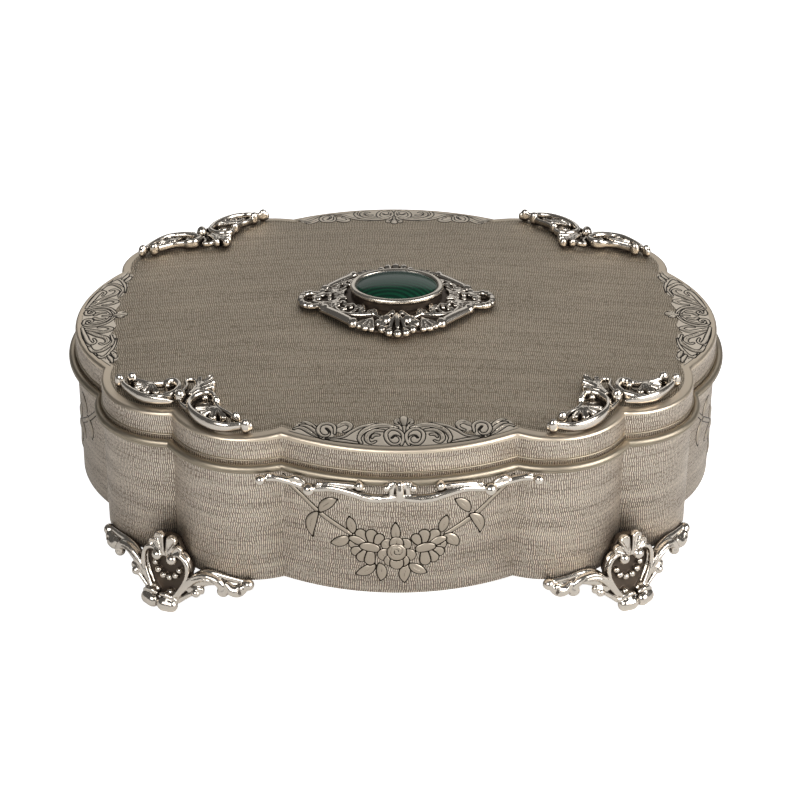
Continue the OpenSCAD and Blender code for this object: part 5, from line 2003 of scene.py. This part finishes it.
@dataclass
class Cartouches:
    """The engraved cartouche of scrolls and leaves on each wide lobe of the lid."""

    finishes: Finishes
    long_side: tuple[Stroke, ...] = (
        (0.55, ((15.9, 2.8), (20.3, 3.0), (24.0, 2.8), (27.2, 2.6))),
        (0.8, ((29.8, 3.4), (33.0, 7.0), (36.6, 8.6), (38.1, 8.0))),
        (0.8, ((27.2, 2.6), (31.8, 3.9), (36.9, 5.3), (39.0, 3.8))),
        (0.7, ((28.4, 3.0), (32.4, 5.6), (35.6, 6.8), (38.0, 6.4))),
        (0.6, ((4.7, 12.8), (10.8, 13.5), (16.2, 11.4), (19.3, 8.2), (21.1, 5.3), (23.8, 3.7), (26.7, 2.8))),
        (0.95, ((25.8, 9.0), (24.5, 10.7), (22.8, 12.3), (20.5, 11.4), (20.4, 9.2), (21.8, 7.6))),
        (0.6, ((24.7, 6.0), (26.0, 9.4), (28.7, 10.5), (31.1, 9.0), (30.9, 6.0), (28.8, 3.9), (26.7, 4.2),
               (26.6, 6.2), (28.5, 7.7))),
        (1.0, ((2.8, 11.7), (7.1, 13.0), (11.7, 12.1), (15.0, 9.1), (15.8, 5.3), (14.6, 2.9))),
        (0.8, ((7.8, 10.1), (11.1, 9.9), (13.1, 7.6), (13.0, 4.8), (11.5, 3.2), (10.0, 4.3))),
        (0.6, ((9.2, 7.6), (10.9, 7.4), (11.4, 5.8))),
        (0.6, ((1.3, 2.9), (0.6, 5.4), (0.8, 8.6), (2.7, 10.7), (5.0, 11.0), (6.7, 8.8), (6.2, 5.5),
               (4.6, 3.3), (2.8, 3.2), (1.6, 4.6), (1.9, 6.8), (3.5, 7.6), (4.5, 6.4))),
    )
    crown: tuple[Stroke, ...] = (
        (0.85, ((0.5, 13.0), (1.5, 15.4), (2.9, 15.9), (3.3, 14.6), (2.5, 14.0))),
    )
    field: tuple[tuple[float, float, float], ...] = (
        (28.4, 6.8, 4.4), (33.4, 5.4, 3.4), (36.6, 5.6, 2.8), (22.4, 9.6, 3.0), (0.0, 15.4, 2.6))
    end_side: tuple[Stroke, ...] = (
        (0.55, ((8.0, 2.4), (14.0, 2.4), (20.0, 2.5), (26.0, 2.3), (31.0, 2.4))),
        (0.85, ((9.0, 2.9), (12.4, 4.8), (16.4, 7.0), (19.6, 9.0), (23.0, 8.9), (24.2, 7.0), (22.8, 6.2))),
        (0.9, ((9.4, 3.6), (12.2, 6.6), (14.4, 9.0), (14.0, 11.4), (12.6, 12.1), (10.4, 10.6), (9.8, 8.0))),
        (0.7, ((7.8, 2.4), (14.4, 2.9), (19.0, 3.0), (21.6, 3.6), (20.6, 5.2), (18.0, 5.2))),
        (0.75, ((23.2, 2.3), (26.9, 2.4), (28.4, 4.7), (26.9, 8.3), (24.8, 10.5), (21.8, 11.0),
                (18.6, 11.2))),
        (0.6, ((31.2, 2.5), (32.9, 2.9), (32.5, 5.2), (29.8, 8.3), (26.6, 10.6), (22.6, 12.2))),
        (0.8, ((32.0, 7.4), (34.6, 7.0), (36.9, 6.3))), (0.7, ((33.4, 5.2), (36.0, 4.8), (38.6, 3.9))),
        (0.6, ((3.7, 2.6), (6.3, 3.6), (8.2, 7.2), (6.8, 11.0), (2.6, 13.6), (0.0, 13.9))),
        (0.5, ((2.9, 3.7), (5.9, 5.1), (6.0, 8.1), (4.7, 10.6), (1.6, 12.2), (0.0, 12.3))),
        (0.6, ((5.2, 2.9), (2.5, 3.3), (2.0, 4.9), (3.6, 6.0), (4.7, 4.9))),
        (0.8, ((1.2, 6.6), (2.8, 8.0), (2.4, 10.2))),
    )
    end_crown: tuple[Stroke, ...] = (
        (0.9, ((0.6, 14.8), (2.4, 15.4), (2.9, 16.6))), (0.9, ((0.4, 15.2), (0.8, 16.8), (0.6, 17.6))),
    )
    end_field: tuple[tuple[float, float, float], ...] = (
        (12.4, 8.6, 3.8), (20.0, 8.4, 4.2), (26.8, 6.4, 4.6), (32.0, 5.6, 3.2), (36.4, 5.2, 2.2),
        (0.0, 15.4, 2.6))
    arch: tuple[tuple[float, float], ...] = (
        (0.0, 13.7), (4.7, 13.5), (10.8, 14.2), (16.2, 12.1), (19.3, 9.0), (21.1, 6.2), (23.8, 4.6),
        (26.7, 3.6), (38.0, 3.2), (40.4, 2.2))
    slide: float = 1.8  # mm that the front one sits off the middle

    def carve(self, rows: Sequence[Stroke], field: Rows) -> Chasing:
        """Model one cartouche as (along the lobe, in from the edge, height).

        Args:
            rows: width and (along, in) points of each scroll of the right half.
            field: (along, in, radius) of the discs of its smooth ground.

        Returns:
            The carving.
        """
        wax = Chasing((-41.2, 1.0, -0.32), (41.2, 19.4, 0.98), (0.22, 0.22, 0.1))
        s, d, h = wax.grid()
        arch = (d - np.interp(np.abs(s), *np.array(self.arch).T)) * 0.8
        plain = np.minimum.reduce(np.broadcast_arrays(
            np.maximum(arch, 2.2 - d), *[np.hypot(np.abs(s) - a, d - b) - r for a, b, r in field]))
        wax.fill(np.maximum.reduce(np.broadcast_arrays(plain, h - 0.15, 2.2 - d)), 0.0)
        for width, points in rows:
            n = len(points) - 1
            for side in (-1, 1):
                shape = [(side * s, d, width * (0.42 + 0.6 * math.sin(math.pi * min(1.0, 0.12 + k / n))))
                         for k, (s, d) in enumerate(points)]
                wax.lay(shape, 0.42)
                if width > 0.7 and n > 1:
                    wax.cut([p[:2] for p in shape[:-1]], 0.1, 0.4 * width)
        wax.lay([(0.0, 9.4, 0.3), (0.0, 11.6, 0.5), (0.0, 13.4, 0.8)], 0.4)
        wax.lay([(0.0, 13.6, 0.7), (0.0, 15.4, 1.3), (0.0, 16.6, 1.5)], 0.3, 0.05)
        wax.limit(-0.22 - wax.grid()[2])
        return wax

    def build(self) -> None:
        """Engrave the four cartouches."""
        def carry(lobe: Lobe) -> Carry:
            """Return what sets the relief on one lobe of the lid."""
            slide = self.slide if lobe is Lobe.front else 0.0
            return lambda p: on_dome(np.column_stack([on_lobe(lobe, p[:, 0] + slide, -p[:, 1]), p[:, 2]]))

        for rows, field, lobes in (
                (self.long_side + self.crown, self.field, (Lobe.front, Lobe.back)),
                (self.end_side + self.end_crown, self.end_field, (Lobe.left, Lobe.right))):
            places = {f"cartouche_{lobe.name}_chased": carry(lobe) for lobe in lobes}
            wax = self.carve(rows, field)
            for piece in cast(wax, places, height, (0.12, 0.24, 0.4), wax.depth):
                place(piece, "lid", self.finishes.engraved_lid)


# Studio


@dataclass(frozen=True)
class Lamp:
    """One soft area lamp: where it stands, how large it is and how strong."""

    name: str
    at: tuple[float, float, float]
    size: tuple[float, float]
    power: float


@dataclass
class Studio:
    """White floor, plain surroundings and soft lamps, and the camera of the photograph."""

    lamps: tuple[Lamp, ...] = (
        Lamp("softbox_back", (0.1, 1.5, 1.0), (2.4, 1.1), 6.1),
        Lamp("softbox_left", (-0.5, -1.15, 0.75), (0.9, 0.7), 10.5),
        Lamp("softbox_right", (1.1, -0.75, 0.65), (1.2, 0.9), 22.0),
    )
    target: tuple[float, float, float] = (0.0, 0.0, 0.05)
    pixels: int = 800  # width of the photograph
    focal: float = 2402.2  # pixels
    eye: tuple[float, float, float] = (-0.01113, -0.74401, 0.46423)
    yaw: float = -0.967
    pitch: float = 29.767
    roll: float = 0.412
    surroundings: str = "#5c5c5c"
    floor_half: float = 4000.0

    def camera(self) -> None:
        """Set the camera where the photograph was taken."""
        yaw, pitch, roll = (math.radians(a) for a in (self.yaw, self.pitch, self.roll))
        ahead = Vector((-math.sin(yaw) * math.cos(pitch), math.cos(yaw) * math.cos(pitch), -math.sin(pitch)))
        side = Vector((math.cos(yaw), math.sin(yaw), 0.0))
        up = side.cross(ahead)
        right = side * math.cos(roll) + up * math.sin(roll)
        top = up * math.cos(roll) - side * math.sin(roll)
        data = bpy.data.cameras.new("photo_camera")
        data.lens = self.focal / self.pixels * data.sensor_width
        data.clip_start, data.clip_end = 0.01, 20.0
        cam = bpy.data.objects.new("photo_camera", data)
        bpy.context.scene.collection.objects.link(cam)
        turn = Matrix((right, top, -ahead)).transposed()
        cam.matrix_world = Matrix.Translation(self.eye) @ turn.to_4x4()
        bpy.context.scene.camera = cam

    def world(self) -> None:
        """Make the surroundings: plain light for the silver to mirror, pure white behind it."""
        world = bpy.data.worlds.new("studio")
        bpy.context.scene.world = world
        world.use_nodes = True
        tree = world.node_tree
        tree.nodes.clear()
        seen = add(tree, "ShaderNodeLightPath").outputs["Is Camera Ray"]
        plain, white = [add(tree, "ShaderNodeBackground", {"Color": colour, "Strength": 1.0})
                        for colour in (self.surroundings, WHITE)]
        mixed = add(tree, "ShaderNodeMixShader", (seen, plain, white))
        add(tree, "ShaderNodeOutputWorld", {"Surface": mixed})

    def floor(self) -> None:
        """Lay the white floor."""
        corners = np.array([(-1, -1, 0), (1, -1, 0), (1, 1, 0), (-1, 1, 0)], float)
        floor = build_mesh("floor", corners * self.floor_half, np.array([[0, 1, 2, 3]]))
        floor.data.materials.append(StudioWhite("studio_white", "#f4f4f4", 0.9).material())

    def light(self) -> None:
        """Hang the lamps."""
        for lamp in self.lamps:
            data = bpy.data.lights.new(lamp.name, "AREA")
            data.shape = "RECTANGLE"
            data.size, data.size_y = lamp.size
            data.energy = lamp.power
            obj = bpy.data.objects.new(lamp.name, data)
            obj.location = lamp.at
            away = Vector(lamp.at) - Vector(self.target)
            obj.rotation_euler = away.to_track_quat("Z", "Y").to_euler()
            bpy.context.scene.collection.objects.link(obj)

    def build(self) -> None:
        """Set up everything that isn't part of the casket."""
        self.camera()
        self.world()
        self.floor()
        self.light()
        bpy.context.scene.view_settings.view_transform = "Standard"


def main() -> None:
    """Build the casket in the shared frame."""
    logging.basicConfig(level=logging.INFO, format="%(name)s %(message)s")
    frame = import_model()
    nodes = frame["nodes"]
    finishes = Finishes()
    sweep = OutlineSweep()
    Body(sweep, finishes, nodes).build()
    Feet(finishes).build()
    Lid(sweep, finishes, nodes).build()
    CornerMounts(finishes).build()
    Plaque(finishes, nodes).build()
    ThumbPiece(finishes).build()
    Garland(finishes).build()
    Cartouches(finishes).build()
    Studio().build()


if __name__ == "__main__":
    main()
